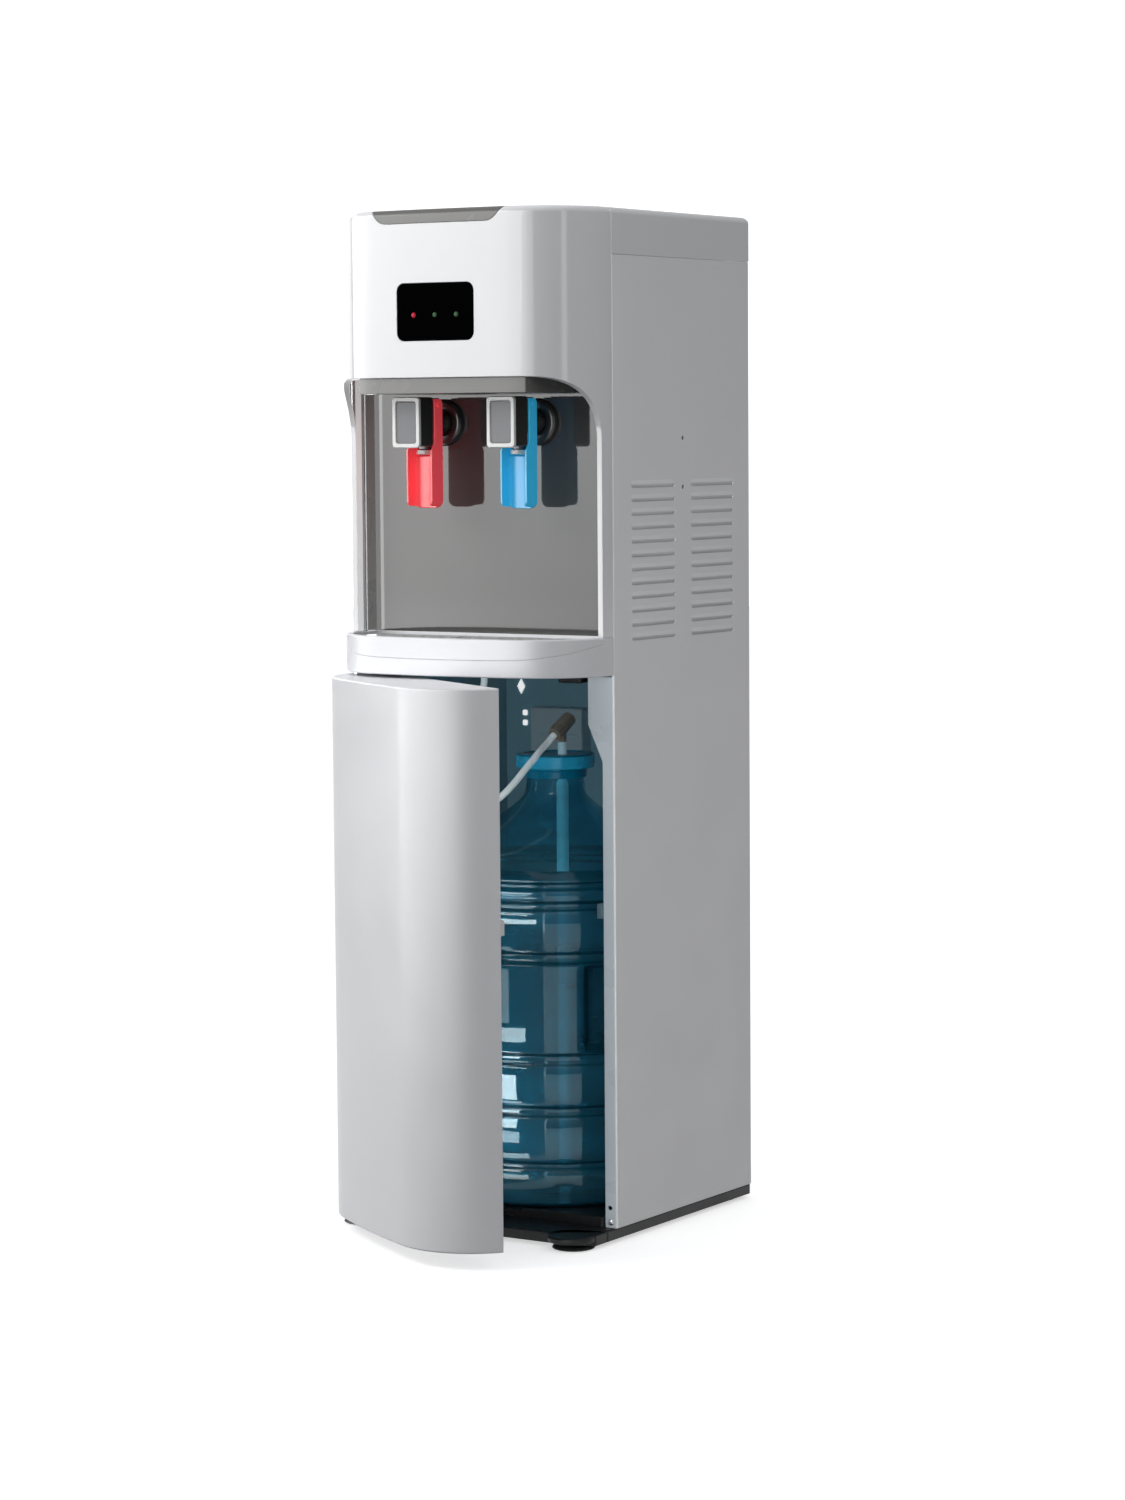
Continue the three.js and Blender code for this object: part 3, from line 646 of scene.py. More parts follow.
def make_display():
    outline = rounded(-WINDOW_X, WINDOW_X, *WINDOW_Z, 8)
    body = keep(front_prism(outline, -BOW - 5, -BOW + 5),
                prism(bowed(-0.3), WINDOW_Z[0] - 5, WINDOW_Z[1] + 5))
    places = {node: [middle(node, axis) for axis in "xz"] for node in LED_NAMES}
    holes = [moved(rod(2.9, -9, 20), along_y(x, -BOW, z)) for x, z in places.values()]
    place(soften(cut(body, *holes), 0.5), "display_glass", "display_gloss", "display_window")
    for node, color in LED_NAMES.items():
        x, z = places[node]
        lens = lathe([(0, 7), (2.7, 7), (2.7, 0.6), (2.2, -0.1), (1.2, -0.5), (0, -0.6)], steps=32)
        place(moved(lens, along_y(x, -BOW + 0.2, z)), node + "_lens", color, node)


def along_y(x, y, z):
    """Turns a solid made around Z to lie along Y, with its zero height at y."""
    return at(x, y, z) @ turned(-90, "X")


def along_x(x, y, z):
    return at(x, y, z) @ turned(90, "Y")


make_head()
make_top_cover()
make_display()

# ---- recess ----
PANEL_Y = extent("recess_liner", "y")[1] - 2
FASCIA_HALF = extent("tap_fascia", "x")[1]
FASCIA_Z = extent("tap_fascia", "z")
TAP_TOP, BEZEL_FOOT = 858, 806.5
LEVER_HALF, LEVER_WALL, LEVER_FOOT = 16, 2.4, 745
LEVER_FINISH = {"hot": "lever_red", "cold": "lever_blue"}


def make_recess():
    side = extent("recess_liner", "x")[1]
    z0, z1 = extent("recess_liner", "z")
    back = block(-side, side, PANEL_Y, PANEL_Y + 2, z0, z1)
    ceiling = prism(bowed(WALL + GAP, PANEL_Y), HEAD_BOTTOM + GAP, z1)
    cheeks = [block(*sorted((s * side, s * (side - 2))), GAP, PANEL_Y + 1, TRAY_TOP, z1) for s in (-1, 1)]
    place(soften(back, 0.4), "recess_panel", "mirror_panel", "recess_liner")
    # the side walls glow faintly: painted light
    walls = place(soften(gather(cheeks), 0.4), "recess_cheeks", "recess_side_glow")
    walls.visible_glossy = False
    place(soften(ceiling, 0.4), "recess_roof", "lip_grey", slot="mirror_liner")

    z0, z1 = FASCIA_Z[0], HEAD_BOTTOM - 0.1
    back = PANEL_Y - GAP
    outer = prism(bowed(3, 10), z0, z1)
    outer = keep(outer, block(-FASCIA_HALF, FASCIA_HALF, -BOW - 5, back, z0 - 5, z1 + 5))
    outer = fuse(outer, block(-FASCIA_HALF, FASCIA_HALF, 0, back, z0, z1))
    inner = keep(prism(bowed(6, 10), z0 + 2.5, z1 + 9),
                 block(-FASCIA_HALF + 2.5, FASCIA_HALF - 2.5, -BOW, PANEL_Y - 3, z0, z1 + 9))
    fascia = soften(cut(outer, inner), 0.8)
    place(fascia, "tap_lip", "lip_grey", "tap_fascia")


def make_tap(side):
    """One tap: its body, collar, framed front, nozzle and the trough-shaped lever on its pin."""
    x = middle(side + "_lever", "x")
    axis_z = middle(side + "_tap_collar", "z")
    pin_y, pin_z = (middle(side + "_lever_pin", axis) for axis in "yz")
    front = extent(side + "_tap_frame", "y")[0]
    lever_finish = LEVER_FINISH[side]

    def part(obj, name, finish, node, **settings):
        place(obj, side + "_" + name, finish, side + "_" + node, **settings)

    body = soften(block(x - 15.5, x + 15.5, front + 4.3, -28.5, 808, TAP_TOP), 1.6)
    barrel = moved(lathe([(0, -13), (10, -13), (12, -11), (12, 35.5), (0, 35.5)]), along_y(x, pin_y, axis_z))
    lug = block(x - 12.5, x + 12.5, -30, -13, axis_z, TAP_TOP - 1)
    spout = lathe([(0, 804.3), (7.2, 804.3), (8, 806), (8, axis_z), (0, axis_z)], x, pin_y, 40)
    channel = rod(5, 800, axis_z - 4, x, pin_y)
    bore = moved(rod(2.4, -20, 20, steps=24), along_x(x, pin_y, pin_z))
    body = soften(cut(fuse(body, barrel, lug, spout), bore, channel), 0.3)
    part(body, "tap_block", "tap_black", "tap_body")

    y0, y1 = extent(side + "_tap_collar", "y")
    ring = [(12.4, y0 + 2), (15, y0), (20, y0), (22.5, y0 + 1.2), (24, y0 + 4), (24, y1), (12.4, y1)]
    part(moved(lathe(ring), along_y(x, 0, axis_z)), "tap_ring", "tap_black", "tap_collar")

    def framed(half, inset, radius, y0, y1):
        outline = rounded(x - half, x + half, BEZEL_FOOT + inset, TAP_TOP - inset, radius)
        return front_prism(outline, front + y0, front + y1)

    bezel = cut(framed(16.7, 0, 4, 0, 4), framed(12.2, 4.7, 2.5, -5, 10))
    part(soften(bezel, 1.1), "tap_bezel", "silver_frame", "tap_frame")
    part(soften(framed(12, 4.9, 2.2, 1.2, 3.7), 0.5), "tap_plate", "insert_grey", "tap_insert")

    ring = [(6, 799.6), (8.4, 799.6), (9.3, 800.4), (9.3, 804), (6, 804)]
    part(lathe(ring, x, pin_y, 48), "tap_spout", "silver_frame", "tap_nozzle", slot="grey_plastic")

    inner = LEVER_HALF - LEVER_WALL
    trough = front_prism(rounded(x - LEVER_HALF, x + LEVER_HALF, LEVER_FOOT, TAP_TOP, (8, 8, 7, 7)), -32, -12)
    bowl = [(x + inner * p, -23 + 8.4 * q) for p, q in arc(0, 0, 1, 0, 180, 20)]
    hollow = prism([(x - inner, -40), (x + inner, -40), *bowl], 700, 900)
    above_web = block(x - inner, x + inner, -40, 0, 798, 900)
    before_ears = side_prism([(-40, 802), (-33, 802), (-30, 806), (-26, 812), (-26, 900), (-40, 900)],
                             x - 20, x + 20)
    bore = moved(rod(2.4, -20, 20, steps=24), along_x(x, pin_y, pin_z))
    lever = soften(cut(trough, hollow, above_web, before_ears, bore), 0.8)
    part(lever, "push_lever", lever_finish, "lever", body=side + "_lever")

    pin = lathe([(0, -17.5), (1.6, -17.5), (2, -17), (2, 17), (1.6, 17.5), (0, 17.5)], steps=24)
    part(moved(pin, along_x(x, pin_y, pin_z)), "pivot_pin", lever_finish, "lever_pin", slot="steel")


make_recess()
make_tap("hot")
make_tap("cold")

# ---- drip tray ----
SEAM_SLOPE, SEAM_AT_BACK = 0.235, 614.5
BASIN_HALF = 146
GRILLE_FOOT, GRILLE_TOP = 609.5, 613


def below_seam(offset):
    """Everything under the slanted parting plane between the tray's lip and its band."""
    low = SEAM_AT_BACK - SEAM_SLOPE * 120 + offset
    return side_prism([(-120, 500), (0, 500), (0, SEAM_AT_BACK + offset), (-120, low)], -200, 200)


def make_tray():
    top = extent("drip_tray", "z")[1]
    wall = bowed_solid(0, 0, BAND_BOTTOM, top, foot_radius=1.2)
    wall = cut(wall, prism(bowed(4, 10), BAND_BOTTOM + 3, top + 10))
    limit = fuse(below_seam(-0.08), block(-200, 200, -CHEEK_DEPTH, 10, BAND_BOTTOM - 10, top + 10))
    band = soften(keep(wall, limit), 0.4)
    place(band, "tray_band", "white_satin", "drip_tray_base")

    ring = bowed_solid(0, 0, SEAM_AT_BACK - 30, top, top_radius=1.6)
    ring = cut(ring, below_seam(0.08), block(-200, 200, -CHEEK_DEPTH - 0.5, 10, 500, 700))
    floor = extent("drip_tray", "z")[0]
    basin = keep(prism(bowed(4.4, PANEL_Y), floor, top),
                 block(-BASIN_HALF, BASIN_HALF, -BOW, PANEL_Y - GAP, floor - 1, top + 1))
    pocket = keep(prism(bowed(7, PANEL_Y), floor + 2.5, top + 5),
                  block(-BASIN_HALF + 2.5, BASIN_HALF - 2.5, -BOW, PANEL_Y - 3, floor, top + 9))
    tray = soften(cut(fuse(ring, basin), pocket), 0.5)
    place(tray, "tray_basin", "white_satin", "drip_tray", "drip_tray")


def make_grille():
    clip = block(-BASIN_HALF + 2.8, BASIN_HALF - 2.8, -BOW, PANEL_Y - 3.3, 600, 620)
    plate = keep(prism(bowed(7.3, PANEL_Y), GRILLE_FOOT, GRILLE_TOP), clip)
    slots = []
    for row in range(5):
        y = -66 + row * 17
        for column in range(-5, 6):
            x = column * 24 + (12 if row % 2 else 0)
            half_width = 9
            if abs(x) + half_width > 136 or (row == 0 and abs(x) > 92):
                continue
            outline = rounded(x - half_width, x + half_width, y - 3.5, y + 3.5, 3.4, 5)
            slots.append(prism(outline, 600, 620))
    plate = soften(cut(plate, gather(slots)), 0.4)
    rib = block(-60, 60, -34, -30, 599.8, 610)
    place(fuse(plate, rib), "grille_plate", "grey_plastic", "drip_grille", "drip_grille")


make_tray()
make_grille()

# ---- cabinet ----
SHEET = 1.5
FLANGE_INNER, FLANGE_WIDE, TAPER_LOW, TAPER_HIGH, FLANGE_TOP = 141, 124, 490, 527, 576
VENT_COLUMNS = ((36, 121.5), (153.7, 240))
VENT_ROWS, VENT_TOP, VENT_PITCH = 12, 767, 14
FOLD = 2.2
SIDE_SCREW_Y, SIDE_SCREW_Z = 137.7, (814.7, 764.4)
GLAND_X, GLAND_Z = 125, 620
PLUG_X, PLUG_Z = 80, 604
REAR_FACE = 241.8


def folded_sheet(x0, z0, z1):
    """Plan outline of the side panel: front flange, side and back lip, with round folds."""
    outer = [(x0, 0)]
    inner = [(x0, SHEET)]
    for y, start in ((0, -90), (DEPTH, 0)):
        centre = (HALF - FOLD, FOLD if start else DEPTH - FOLD)
        outer += arc(*centre, FOLD, start, start + 90, 6)
        inner += arc(*centre, FOLD - SHEET, start, start + 90, 6)
    outer.append((HALF - 12, DEPTH))
    inner.append((HALF - 12, DEPTH - SHEET))
    return prism(outer + inner[::-1], z0, z1)


def vent_slots():
    slots, hoods = [], []
    for y0, y1 in VENT_COLUMNS:
        for row in range(VENT_ROWS):
            z = VENT_TOP - row * VENT_PITCH
            outline = rounded(y0, y1, z - 2, z + 2, 1.9, 5)
            slots.append(side_prism(outline, HALF - 15, HALF + 15))
            hoods += [hood(y0, y1, z), blade(y0, y1, z)]
    return gather(slots), hoods


def hood(y0, y1, z):
    """The lip that is pressed out above a vent slot and rolls back into the panel."""
    rings = []
    steps = 12
    for i in range(steps + 1):
        t = i / steps
        y = y0 + (y1 - y0) * t
        swell = min(1, sin(pi * t) * 4)
        out = 0.15 + 1.5 * swell
        profile = [(HALF - 0.9, z + 6), (HALF - 0.02 + 0.1 * out, z + 5.2), (HALF + 0.5 * out, z + 3.6),
                   (HALF + out, z + 1.5), (HALF + out - 0.7 * swell, z + 1.3), (HALF - 0.9, z + 3.2)]
        rings.append([(x, y, zz) for x, zz in profile])
    return loft(rings)


def blade(y0, y1, z):
    """The sloping tongue behind a vent slot, which keeps the works out of sight."""
    profile = [(HALF - 0.5, z + 2.4), (HALF - 1.2, z + 2.6), (HALF - 3.6, z - 3.2), (HALF - 2.9, z - 3.4)]
    return loft([[(x, y, zz) for x, zz in profile] for y in (y0 - 1, y1 + 1)])


def make_side_panel(side, end):
    panel = folded_sheet(FLANGE_WIDE, PANEL_FOOT, COVER_SEAM)
    narrow = front_prism([(100, 0), (FLANGE_INNER, 0), (FLANGE_INNER, TAPER_LOW), (FLANGE_WIDE, TAPER_HIGH),
                          (100, TAPER_HIGH)], -5, 8)
    above = block(100, HALF - FOLD - 1, -5, 8, FLANGE_TOP, HEIGHT)
    slots, hoods = vent_slots()
    holes = [moved(rod(2.3, -30, 30, steps=20), along_x(HALF, SIDE_SCREW_Y, z)) for z in SIDE_SCREW_Z]
    hole = moved(rod(2.4, -10, 10, steps=20), along_y(146.4, 0, 35.2))
    panel = soften(cut(panel, narrow, above, slots, hole, *holes), 0.35, 2)
    panel = gather([panel, *hoods])
    if side < 0:
        panel.data.transform(Matrix.Scale(-1, 4, (1, 0, 0)))
        panel.data.flip_normals()
    place(panel, "cabinet_side_" + end, "painted_steel", "side_panel_" + end)
    # the inner faces inside the cabinet take painted shade with the blue light of the bottle
    for finish in ("bay_shaded_steel", "flange_shaded_steel"):
        panel.data.materials.append(look[finish])
    # the front faces of the flange take painted shade with a blue cast
    for face in panel.data.polygons:
        x, y = face.center.x / MM, (face.center.y - SEAM_Y) / MM
        if abs(x) < HALF - 0.8 and face.normal.x * side < 0.3 and 0.6 < y < DEPTH - 22:
            face.material_index = 1
        elif y < 1.2 and face.normal.y < -0.9 and abs(x) < HALF - 1:
            face.material_index = 2


def screw(radius):
    """A pan-head screw with a cross recess, its head towards +Z."""
    head = lathe([(0, -3), (radius * 0.45, -3), (radius * 0.45, 0), (radius, 0), (radius, radius * 0.18),
                  (radius * 0.85, radius * 0.42), (radius * 0.5, radius * 0.55), (0, radius * 0.6)], steps=32)
    arm, depth = radius * 0.16, radius * 0.25
    cross = [block(-radius * 0.55, radius * 0.55, -arm, arm, depth, radius),
             block(-arm, arm, -radius * 0.55, radius * 0.55, depth, radius)]
    return cut(head, *cross)


def screws(name, places, turn):
    heads = [moved(screw(radius), turn(x, y, z)) for x, y, z, radius in places]
    place(soften(gather(heads), 0.12, 2), name, "steel")


def to_front(x, y, z):
    """Turns a solid made around Z to lie along Y, with its top towards the front."""
    return at(x, y, z) @ turned(90, "X")


def make_back():
    x = HALF - 2
    (y0, y1), (z0, z1) = spans("back_panel_lower", "yz")
    lower = soften(front_prism(rounded(-x, x, z0, z1, 1, 3), y0, y1), 0.3, 2)
    place(lower, "back_plate_lower", "painted_steel", "back_panel_lower")
    # the inner face takes the cabinet's painted shade
    second_finish(lower, "bay_shaded_steel", lambda c, n: n.y < -0.5)

    (y0, y1), (z0, z1) = spans("back_panel_upper", "yz")
    upper = front_prism(rounded(-x, x, z0, z1, 1, 3), y0, y1)
    cuts = [moved(rod(r, -9, 9), along_y(cx, y0, cz))
            for cx, cz, r in ((GLAND_X, GLAND_Z, 8.5), (PLUG_X, PLUG_Z, 9.5))]
    for node in ("switch_hot", "switch_cold"):
        cx = middle(node, "x")
        cuts.append(front_prism(rounded(cx - 7, cx + 7, 952, 978, 1), y0 - 9, y1 + 9))
    upper = soften(cut(upper, *cuts), 0.3, 2)
    place(upper, "back_plate_upper", "painted_steel", "back_panel_upper")

    lower_places = [(sx * 146, DEPTH - 1.9, z, 3.6) for sx in (-1, 1) for z in (32, 205, 380, 560)]
    upper_places = [(sx * 138, y1 + 0.1, z, 3.6) for sx in (-1, 1) for z in (660, 800, 930)]
    screws("back_screws", lower_places + upper_places, along_y)
    screws("flange_screws", [(s * 147.5, -0.1, 21, 3.4) for s in (-1, 1)], to_front)


def make_condenser():
    """One tube in a serpentine with thin wires across it, as on the back of a refrigerator."""
    y, reach, pitch, passes, top = 256, 105, 34, 9, 935
    bracket_y, bracket_foot = 242, 655
    path = []
    z = top
    for i in range(passes):
        s = 1 if i % 2 == 0 else -1
        path += [Vector((-s * reach, y, z)), Vector((s * reach, y, z))]
        if i < passes - 1:
            bend = arc(reach, z - pitch / 2, pitch / 2, 90, -90, 12)[1:-1]
            path += [Vector((s * across, y, up)) for across, up in bend]
        z -= pitch
    low = top - pitch * (passes - 1)
    wires = [tube([Vector((-96 + 9.6 * i, y + dy, z)) for z in (low - 10, top + 10)], 0.8, 8)
             for i in range(21) for dy in (3.2, -3.2)]
    brackets = [soften(block(x - 3, x + 3, bracket_y, y + 1, bracket_foot, top + 10), 0.5, 2)
                for x in (-60, 60)]
    coil = gather([tube(path, 2.5, 16), *wires, *brackets])
    place(coil, "condenser_coil", "black_plastic", "condenser")


def make_back_fittings():
    inside = extent("mains_gland", "y")[0]
    collar = [(4, inside), (8, inside), (8, 241), (12, REAR_FACE), (12, 246), (10.5, 248), (8.5, 250),
              (7, 252), (4, 252)]
    collar = moved(lathe(collar, steps=48), along_y(GLAND_X, 0, GLAND_Z))
    place(collar, "cord_gland", "black_plastic", "mains_gland")
    plug = [(0, 236), (9, 236), (9, 241), (14, REAR_FACE), (14, 252), (13, 254), (8, 254), (7, 252),
            (0, 252)]
    plug = moved(lathe(plug, steps=48), along_y(PLUG_X, 0, PLUG_Z))
    place(plug, "drain_cap", "black_plastic", "drain_plug")
    for side, finish in (("hot", "lever_red"), ("cold", "led_green")):
        x, z = (middle("switch_" + side, axis) for axis in "xz")
        key = [(-4, -10.5), (3.5, -11), (5, -9), (3.4, 0), (5, 9), (3.5, 11), (-4, 10.5)]
        key = moved(soften(side_prism(key, x - 6, x + 6), 0.6), at(0, 240, z) @ turned(-7, "X"))
        place(key, "rocker_" + side, finish, "switch_" + side, "switch_" + side, LEVER_FINISH[side])
        rim = cut(front_prism(rounded(x - 9.5, x + 9.5, z - 16, z + 16, 2.5), REAR_FACE, 243.4),
                  front_prism(rounded(x - 6.9, x + 6.9, z - 12.9, z + 12.9, 1), 235, 250))
        place(soften(rim, 0.4), "rocker_" + side + "_rim", "black_plastic")


def make_base():
    z = PANEL_FOOT - GAP
    side = HALF - 0.5
    plate = prism(rounded(-side, side, -20, DEPTH - 1, (4, 4, 3, 3)), 4, z)
    nose = prism([(-side, -19), (-side, -40), (-140, -50), (140, -50), (side, -40), (side, -19)], 4, z)
    lobe = [(0, 8), (24, 8), (25, 9), (25, z - 1.5), (23.5, z), (0, z)]
    lobes = [lathe(lobe, s * 129, -45, 64) for s in (-1, 1)]
    deck = prism(rounded(-139, 139, 3, 268, 6), 10, 24)
    seat = lathe([(0, 21.2), (BOTTLE_R + 2, 21.2), (BOTTLE_R + 4, 30), (0, 30)], 0, BOTTLE_Y, 96)
    pad = block(-40, 40, 60, 140, 0, 6)
    pin_hole = rod(4.3, 6, 20, HINGE_X, HINGE_Y, 24)
    base = cut(fuse(plate, nose, *lobes, deck, pad), seat, pin_hole)
    place(soften(base, 0.8), "base_tray", "black_plastic", "base_pan")
    for corner in ("front_left", "front_right", "rear_left", "rear_right"):
        x, y = (middle("foot_" + corner, axis) for axis in "xy")
        profile = [(0, 0), (19, 0), (21, 0.6), (22, 1.6), (20.5, 3.7), (0, 3.7)]
        place(lathe(profile, x, y, 64), "pad_" + corner, "black_plastic", "foot_" + corner)


def make_bay_fittings():
    (x0, x1), (y0, y1), (z0, z1) = spans("bay_housing", "xyz")
    x0 += 9.5
    case = soften(block(x0, x1, y0, y1, z0, z1), 2.5, 4)
    rib = soften(block(x0 + 4, x1 - 4, y0 - 1.2, y0 + 2, (z0 + z1) / 2 - 1.5, (z0 + z1) / 2 + 1.5), 0.6, 2)
    place(gather([case, rib]), "bay_switch_case", "bay_plastic", "bay_housing")
    x, y = (middle("hose_fitting", axis) for axis in "xy")
    z0, z1 = extent("hose_fitting", "z")
    profile = [(0, z0), (5, z0), (6, z0 + 1), (6, 568.6), (7.6, 568.8), (9, 570), (9, z1), (0, z1)]
    place(lathe(profile, x, y, 40), "hose_elbow", "bay_plastic", "hose_fitting")
    wall = extent("back_panel_lower", "y")[0]
    keyhole = front_prism([(-133, 533.5), (-128, 542), (-133, 550.5), (-138, 542)], wall - 1.6, wall)
    dots = [front_prism(rounded(-131, -125, z - 3, z + 3, 1.5), wall - 1.6, wall) for z in (513, 502)]
    # the plugs glow: painted light that lifts them out of the cabinet's shade
    place(soften(gather([keyhole, *dots]), 0.4), "bay_plugs", "bay_glow_white")
    place(soften(block(84, 112, 6, 34, 568, 579.7), 2), "bay_hanger", "black_plastic")
    (x0, x1), (y0, y1), (z0, z1) = spans("catch_magnet", "xyz")
    magnet = soften(block(x1 - 6.5, x1, y0, y1, z0 + 1, z1 - 1), 1)
    # the magnet wears the cabinet's painted shade, so that it melts into it
    place(magnet, "door_magnet", "bay_shaded_steel", "catch_magnet", slot="black_plastic")


make_side_panel(-1, "left")
make_side_panel(1, "right")
make_back()
make_condenser()
make_back_fittings()
make_base()
make_bay_fittings()

# ---- bottle and its probe ----
BOTTLE_FOOT = extent("bottle", "z")[0]


def chaikin(points, rounds=2):
    """Cuts the corners of an open profile, and keeps its ends."""
    for _ in range(rounds):
        trimmed = [points[0]]
        for (r0, z0), (r1, z1) in zip(points, points[1:]):
            trimmed += [((1 - t) * r0 + t * r1, (1 - t) * z0 + t * z1) for t in (0.25, 0.75)]
        points = trimmed + [points[-1]]
    return points


def bottle_profile():
    """Radius and height up the outside: foot, ribs, grooves, shoulder and neck."""
    foot, body = BOTTLE_FOOT, BOTTLE_R - 0.2

    def grooves(*places):
        return [point for low, high, depth in places
                for point in ((body, low), (body - depth, low + 3), (body - depth, high - 3), (body, high))]

    profile = [(0, foot + 10), (70, foot + 5), (100, foot), (120, foot), (129, foot + 8), (body, foot + 24)]
    profile += grooves((62, 72, 5), (116, 130, 7), (170, 184, 5))
    profile += [(body, z) for z in range(189, 274, 6)]
    profile += grooves((276, 290, 7), (330, 342, 6), (352, 362, 5))
    return profile + [(130, 366), (123, 376), (109, 389), (91, 401), (73, 411), (56, 421), (42, 431),
                      (33, 440), (30.5, 450), (30, NECK_TOP)]


GRIP_TURN, GRIP_FOOT, GRIP_TOP, GRIP_DEPTH = 69, 188, 272, 20
BOTTLE_CORE = 100  # the wall is further from the axis than this, and the neck is nearer
NECK_TOP, CAP_FOOT = 468.5, 469.5


def ease(value, low, high):
    t = min(1, max(0, (value - low) / (high - low)))
    return t * t * (3 - 2 * t)


def press_grip(bottle):
    """Presses the hand recess into the bottle's side."""
    for vertex in bottle.data.vertices:
        dx, dy = vertex.co.x, vertex.co.y - BOTTLE_Y
        turn = abs(degrees(atan2(dx, -dy)) - GRIP_TURN)
        tall = ease(vertex.co.z, GRIP_FOOT - 5, GRIP_FOOT + 3) - ease(vertex.co.z, GRIP_TOP - 3, GRIP_TOP + 5)
        depth = GRIP_DEPTH * (1 - ease(turn, 20, 25)) * tall
        radius = hypot(dx, dy)
        if radius > BOTTLE_CORE and depth > 0:
            share = (radius - depth) / radius
            vertex.co.x, vertex.co.y = dx * share, BOTTLE_Y + dy * share


def make_bottle():
    outer = chaikin(bottle_profile())
    wall = 1.4
    inner = [(max(r - wall, 0), z + (wall if z < 60 else 0)) for r, z in outer if z < NECK_TOP - 0.5]
    profile = outer + [(28.6, NECK_TOP)] + inner[::-1]
    bottle = lathe(profile, 0, BOTTLE_Y, 160)
    press_grip(bottle)
    place(bottle, "water_bottle", "bottle_blue", "bottle", angle=60)

    # the groove flanks and the foot get a darker blue: painted shade in the grooves and under the bottle
    def on_shaded_rib(c, n):
        out = Vector((c.x, c.y - BOTTLE_Y, 0))
        steep = out.length > BOTTLE_CORE and 58 < c.z < 372 and n.dot(out.normalized()) < 0.88
        return steep or c.z < BOTTLE_FOOT + 6

    second_finish(bottle, "bottle_rib", on_shaded_rib)

    cap_top = extent("bottle_cap", "z")[1]
    tube_x = middle("dip_tube", "x")
    ring = [(0, CAP_FOOT), (35, CAP_FOOT), (40.6, CAP_FOOT), (41.6, 471), (41.6, cap_top - 1.5),
            (40.4, cap_top), (34, cap_top), (33, cap_top - 1), (0, cap_top - 1)]
    cap = cut(lathe(ring, 0, BOTTLE_Y, 120), rod(5.2, 440, 500, tube_x, BOTTLE_Y))
    cap = place(soften(cap, 0.4), "bottle_cap_top", "cap_rim", "bottle_cap")
    second_finish(cap, "cap_teal", lambda c, n: n.z > 0.6 or c.z > cap_top - 2.5)
    skirt = [(31, 459), (32.4, 459), (33, 459.8), (33, 466), (34.5, 467.5), (34.5, 469.2), (31, 469.2)]
    place(lathe(skirt, 0, BOTTLE_Y, 120), "bottle_cap_skirt", "cap_teal")

    z0, z1 = extent("dip_tube", "z")
    dip = lathe([(3.4, z0), (6.4, z0), (6.4, 452), (4.6, 456), (4.6, z1), (3.4, z1)], tube_x, BOTTLE_Y, 40)
    place(dip, "dip_pipe", "dip_tube", "dip_tube")

    axis = Vector((0.12, 0.83, 0.54)).normalized()
    centre = Vector((12, 127, 513))
    turn = Matrix.Translation(centre) @ axis.to_track_quat("Z", "Y").to_matrix().to_4x4()
    barrel = lathe([(0, -15.5), (6.2, -15.5), (7.4, -14.6), (7.4, -4), (8, -3), (8, 4), (7.6, 5), (7.6, 14),
                    (6.4, 15.5), (0, 15.5)], steps=48)
    ribs = [moved(block(-0.7, 0.7, 7, 8.2, -13, -5), turned(30 * k, "Z")) for k in range(12)]
    stem = rod(4.6, 496, 512, tube_x, BOTTLE_Y)
    head = fuse(moved(fuse(barrel, *ribs), turn), stem)
    place(soften(head, 0.3, 2), "probe_tip", "probe_brown", "probe_head")


make_bottle()

# ---- door: built closed, then turned to where it stands ----
DOOR_WALL = 3.5
DOOR_BACK = -6
SWING = at(HINGE_X, HINGE_Y, 0) @ turned(-DOOR_OPEN, "Z") @ at(-HINGE_X, -HINGE_Y, 0)


def make_door():
    outer = bowed_solid(0.5, DOOR_BACK, DOOR_FOOT, DOOR_TOP, 2.2, 2.2)
    hollow = prism(bowed(DOOR_WALL, 10), DOOR_FOOT + 3, DOOR_TOP - 3)
    bores = [rod(4.4, z0, z1, HINGE_X, HINGE_Y, 24)
             for z0, z1 in ((DOOR_FOOT - 5, DOOR_FOOT + 8), (DOOR_TOP - 8, DOOR_TOP + 5))]
    shell = moved(soften(cut(outer, hollow, *bores), 0.5), SWING)
    place(shell, "door_shell", "white_satin", "door_outer", "door")

    half = max(x for x, y in bowed(DOOR_WALL + GAP, 10) if DOOR_BACK - 4 < y < DOOR_BACK)
    panel = front_prism(rounded(-half, half, DOOR_FOOT + 3.3, DOOR_TOP - 3.3, 3), DOOR_BACK - 3, DOOR_BACK)
    dish = front_prism(rounded(-half + 16, half - 16, DOOR_FOOT + 22, DOOR_TOP - 22, 12), DOOR_BACK - 1.2, 10)
    liner = moved(soften(cut(panel, dish), 0.8), SWING)
    place(liner, "door_liner", "white_satin", "door_inner", "door")

    plate = fuse(block(129, 151, DOOR_BACK + GAP, DOOR_BACK + 2, 330, 347),
                 block(142, 151, DOOR_BACK + GAP, -0.6, 331, 346))
    plate = moved(soften(plate, 0.5), SWING)
    place(plate, "catch_plate", "silver_frame", "door_catch_plate", "door", "steel")
    for end, z0, z1 in (("top", DOOR_TOP - 9, BAND_BOTTOM - GAP), ("bottom", 7, DOOR_FOOT + 9)):
        pin = lathe([(0, z0), (3.4, z0), (4, z0 + 0.6), (4, z1), (0, z1)], HINGE_X, HINGE_Y, 32)
        place(pin, "door_pin_" + end, "steel", "hinge_pin_" + end)


make_door()

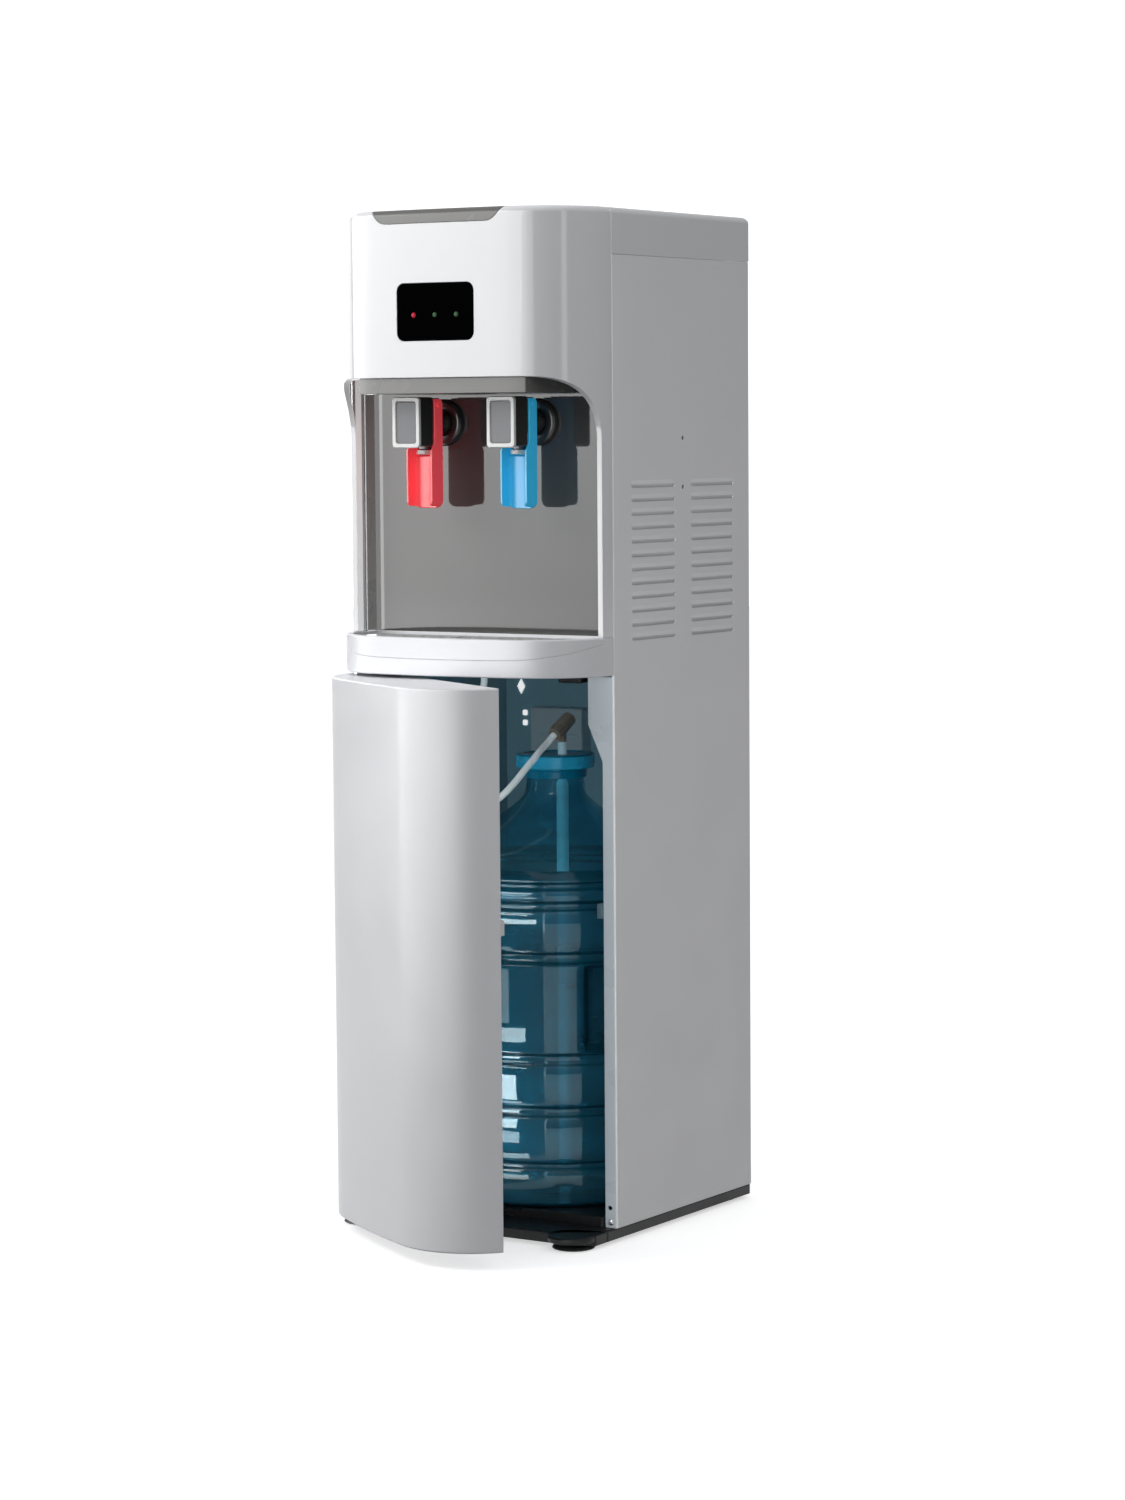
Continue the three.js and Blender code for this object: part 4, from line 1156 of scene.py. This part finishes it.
# ---- CAD nodes that keep their shape and get a finish ----
CARRIED = {
    # the bay shelf takes the cabinet's painted shade
    "bay_shelf": "bay_shaded_steel", "upper_shelf": "painted_steel", "compressor": "black_plastic",
    "pump": "grey_plastic", "hot_tank": "tank_foam", "cold_tank": "tank_foam",
    "display_board": "board_green",
}
for node, finish in CARRIED.items():
    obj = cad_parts[node]
    obj.data.materials.clear()
    obj.data.materials.append(look[finish])


# ---- studio ----
def area_light(name, azimuth, distance, width, z0, z1, radiance, **rays):
    """A panel that faces the machine. azimuth is in degrees from the front, positive to the right."""
    data = bpy.data.lights.new(name, "AREA")
    data.shape = "RECTANGLE"
    data.size = width
    data.size_y = z1 - z0
    data.energy = radiance * pi * width * (z1 - z0)
    light = bpy.data.objects.new(name, data)
    light.matrix_world = turned(azimuth, "Z") @ at(0, -distance, (z0 + z1) / 2) @ turned(90, "X")
    light.visible_camera = False
    for ray, shown in rays.items():
        setattr(light, "visible_" + ray, shown)
    scene.collection.objects.link(light)
    return light


FLOOR_GLOW = 0.56
BAY_PIECES = ("bottle_cap_top", "bottle_cap_skirt", "dip_pipe", "probe_tip", "bay_switch_case",
              "bay_hanger", "hose_elbow", "back_plate_lower", "bay_shelf", "bay_plugs", "water_hose",
              "cabinet_side_right", "cabinet_side_left")

# name, azimuth in degrees, distance, width, low and high edge in metres, and radiance
DIFFUSE_LIGHTS = (("key", -48, 1.75, 1.2, 1.3, 2.5, 5.9), ("fill", 46, 1.5, 0.6, 1.0, 1.9, 1.45))
MIRRORED_LIGHTS = (
    ("softbox", -38, 2.5, 5.0, 0.02, 2.6, 7.0), ("softbox_edge", 10, 2.5, 0.3, 0.02, 2.6, 4.4),
    ("softbox_fade", 17.5, 2.5, 0.42, 0.02, 2.6, 2.8), ("upper_wing", -106, 2.5, 1.8, 0.85, 2.6, 2.6),
    ("rim", -146, 2.5, 1.7, 0.0, 2.6, 0.62), ("strip", 63, 2.5, 0.3, 0.0, 2.2, 2.3),
    ("cheek_glow", -90, 0.148, 0.016, 0.60, 0.90, 5.6),
)
BAY_WINDOW = (4, 1.3, 0.9, 0.15, 0.75)
# low, high, left and right edge in metres, and the radiance of each streak on the bottle
GLINTS = ((0.040, 0.058, -0.02, 0.05, 7), (0.078, 0.096, -0.02, 0.03, 8), (0.104, 0.158, -0.02, 0.024, 16),
          (0.186, 0.200, -0.02, 0.045, 10), (0.205, 0.262, -0.02, 0.010, 3), (0.316, 0.327, -0.02, 0.07, 13),
          (0.343, 0.350, -0.02, 0.05, 12), (0.364, 0.378, -0.02, 0.06, 14))


def bay_light(pieces, name, *shape, **rays):
    """Daylight in the open cabinet: it only falls on the pieces named, and the door doesn't stop it."""
    light = area_light(name, *shape, **rays)
    light.light_linking.receiver_collection = collection(name + "_lit", pieces)
    light.light_linking.blocker_collection = collection(name + "_screens", ["base_tray"])
    return light


def collection(name, pieces):
    made = bpy.data.collections.new(name)
    for piece in pieces:
        made.objects.link(scene.objects[piece])
    return made


def make_world():
    world = bpy.data.worlds.new("studio")
    world.use_nodes = True
    nodes, links = world.node_tree.nodes, world.node_tree.links
    ramp = two_tone(nodes, (0.0, (0.205, 0.206, 0.208)), (1.0, (0.70, 0.705, 0.715)))
    links.new(place_in_box(nodes, links)["Z"], ramp.inputs["Fac"])
    links.new(ramp.outputs["Color"], nodes["Background"].inputs["Color"])
    scene.world = world


def stage(obj, name, tools, *hidden_from):
    obj.name = name
    obj.data.materials.append(tools[0])
    for ray in hidden_from:
        setattr(obj, "visible_" + ray, False)


def make_stage():
    white = (1, 1, 1, 1)
    floor_tools = shader("stage_floor", (0.9, 0.9, 0.9), 0.8, Emission_Strength=FLOOR_GLOW,
                         Emission_Color=white)
    grain(floor_tools, 60, 0.02)
    stage(prism(circle(14, 96), -0.02, 0.0), "stage_floor", floor_tools, "diffuse")
    backdrop_tools = shader("stage_backdrop", (1, 1, 1), 1.0, Emission_Strength=1.0, Emission_Color=white)
    stage(loft([[(x, y, z) for x, y in circle(13.5, 96)] for z in (-0.01, 12)]), "stage_backdrop",
          backdrop_tools, "diffuse", "glossy", "transmission", "shadow", "volume_scatter")


make_world()
make_stage()
for name, *shape in DIFFUSE_LIGHTS:
    area_light(name, *shape, glossy=False)
for name, *shape in MIRRORED_LIGHTS:
    area_light(name, *shape, diffuse=False)
scene.objects["cheek_glow"].location.y = SEAM_Y + 0.008
bay_light(BAY_PIECES, "bay_fill", *BAY_WINDOW, 6.0, glossy=False)
bay_light(["water_bottle"], "bottle_fill", *BAY_WINDOW, 1.3, glossy=False)
for index, (low, high, left, right, radiance) in enumerate(GLINTS):
    glint = bay_light(["water_bottle"], "glint_" + str(index), 0, 0.16, right - left, low, high, radiance,
                      diffuse=False)
    glint.location.x = (left + right) / 2
scene.view_settings.view_transform = "Standard"
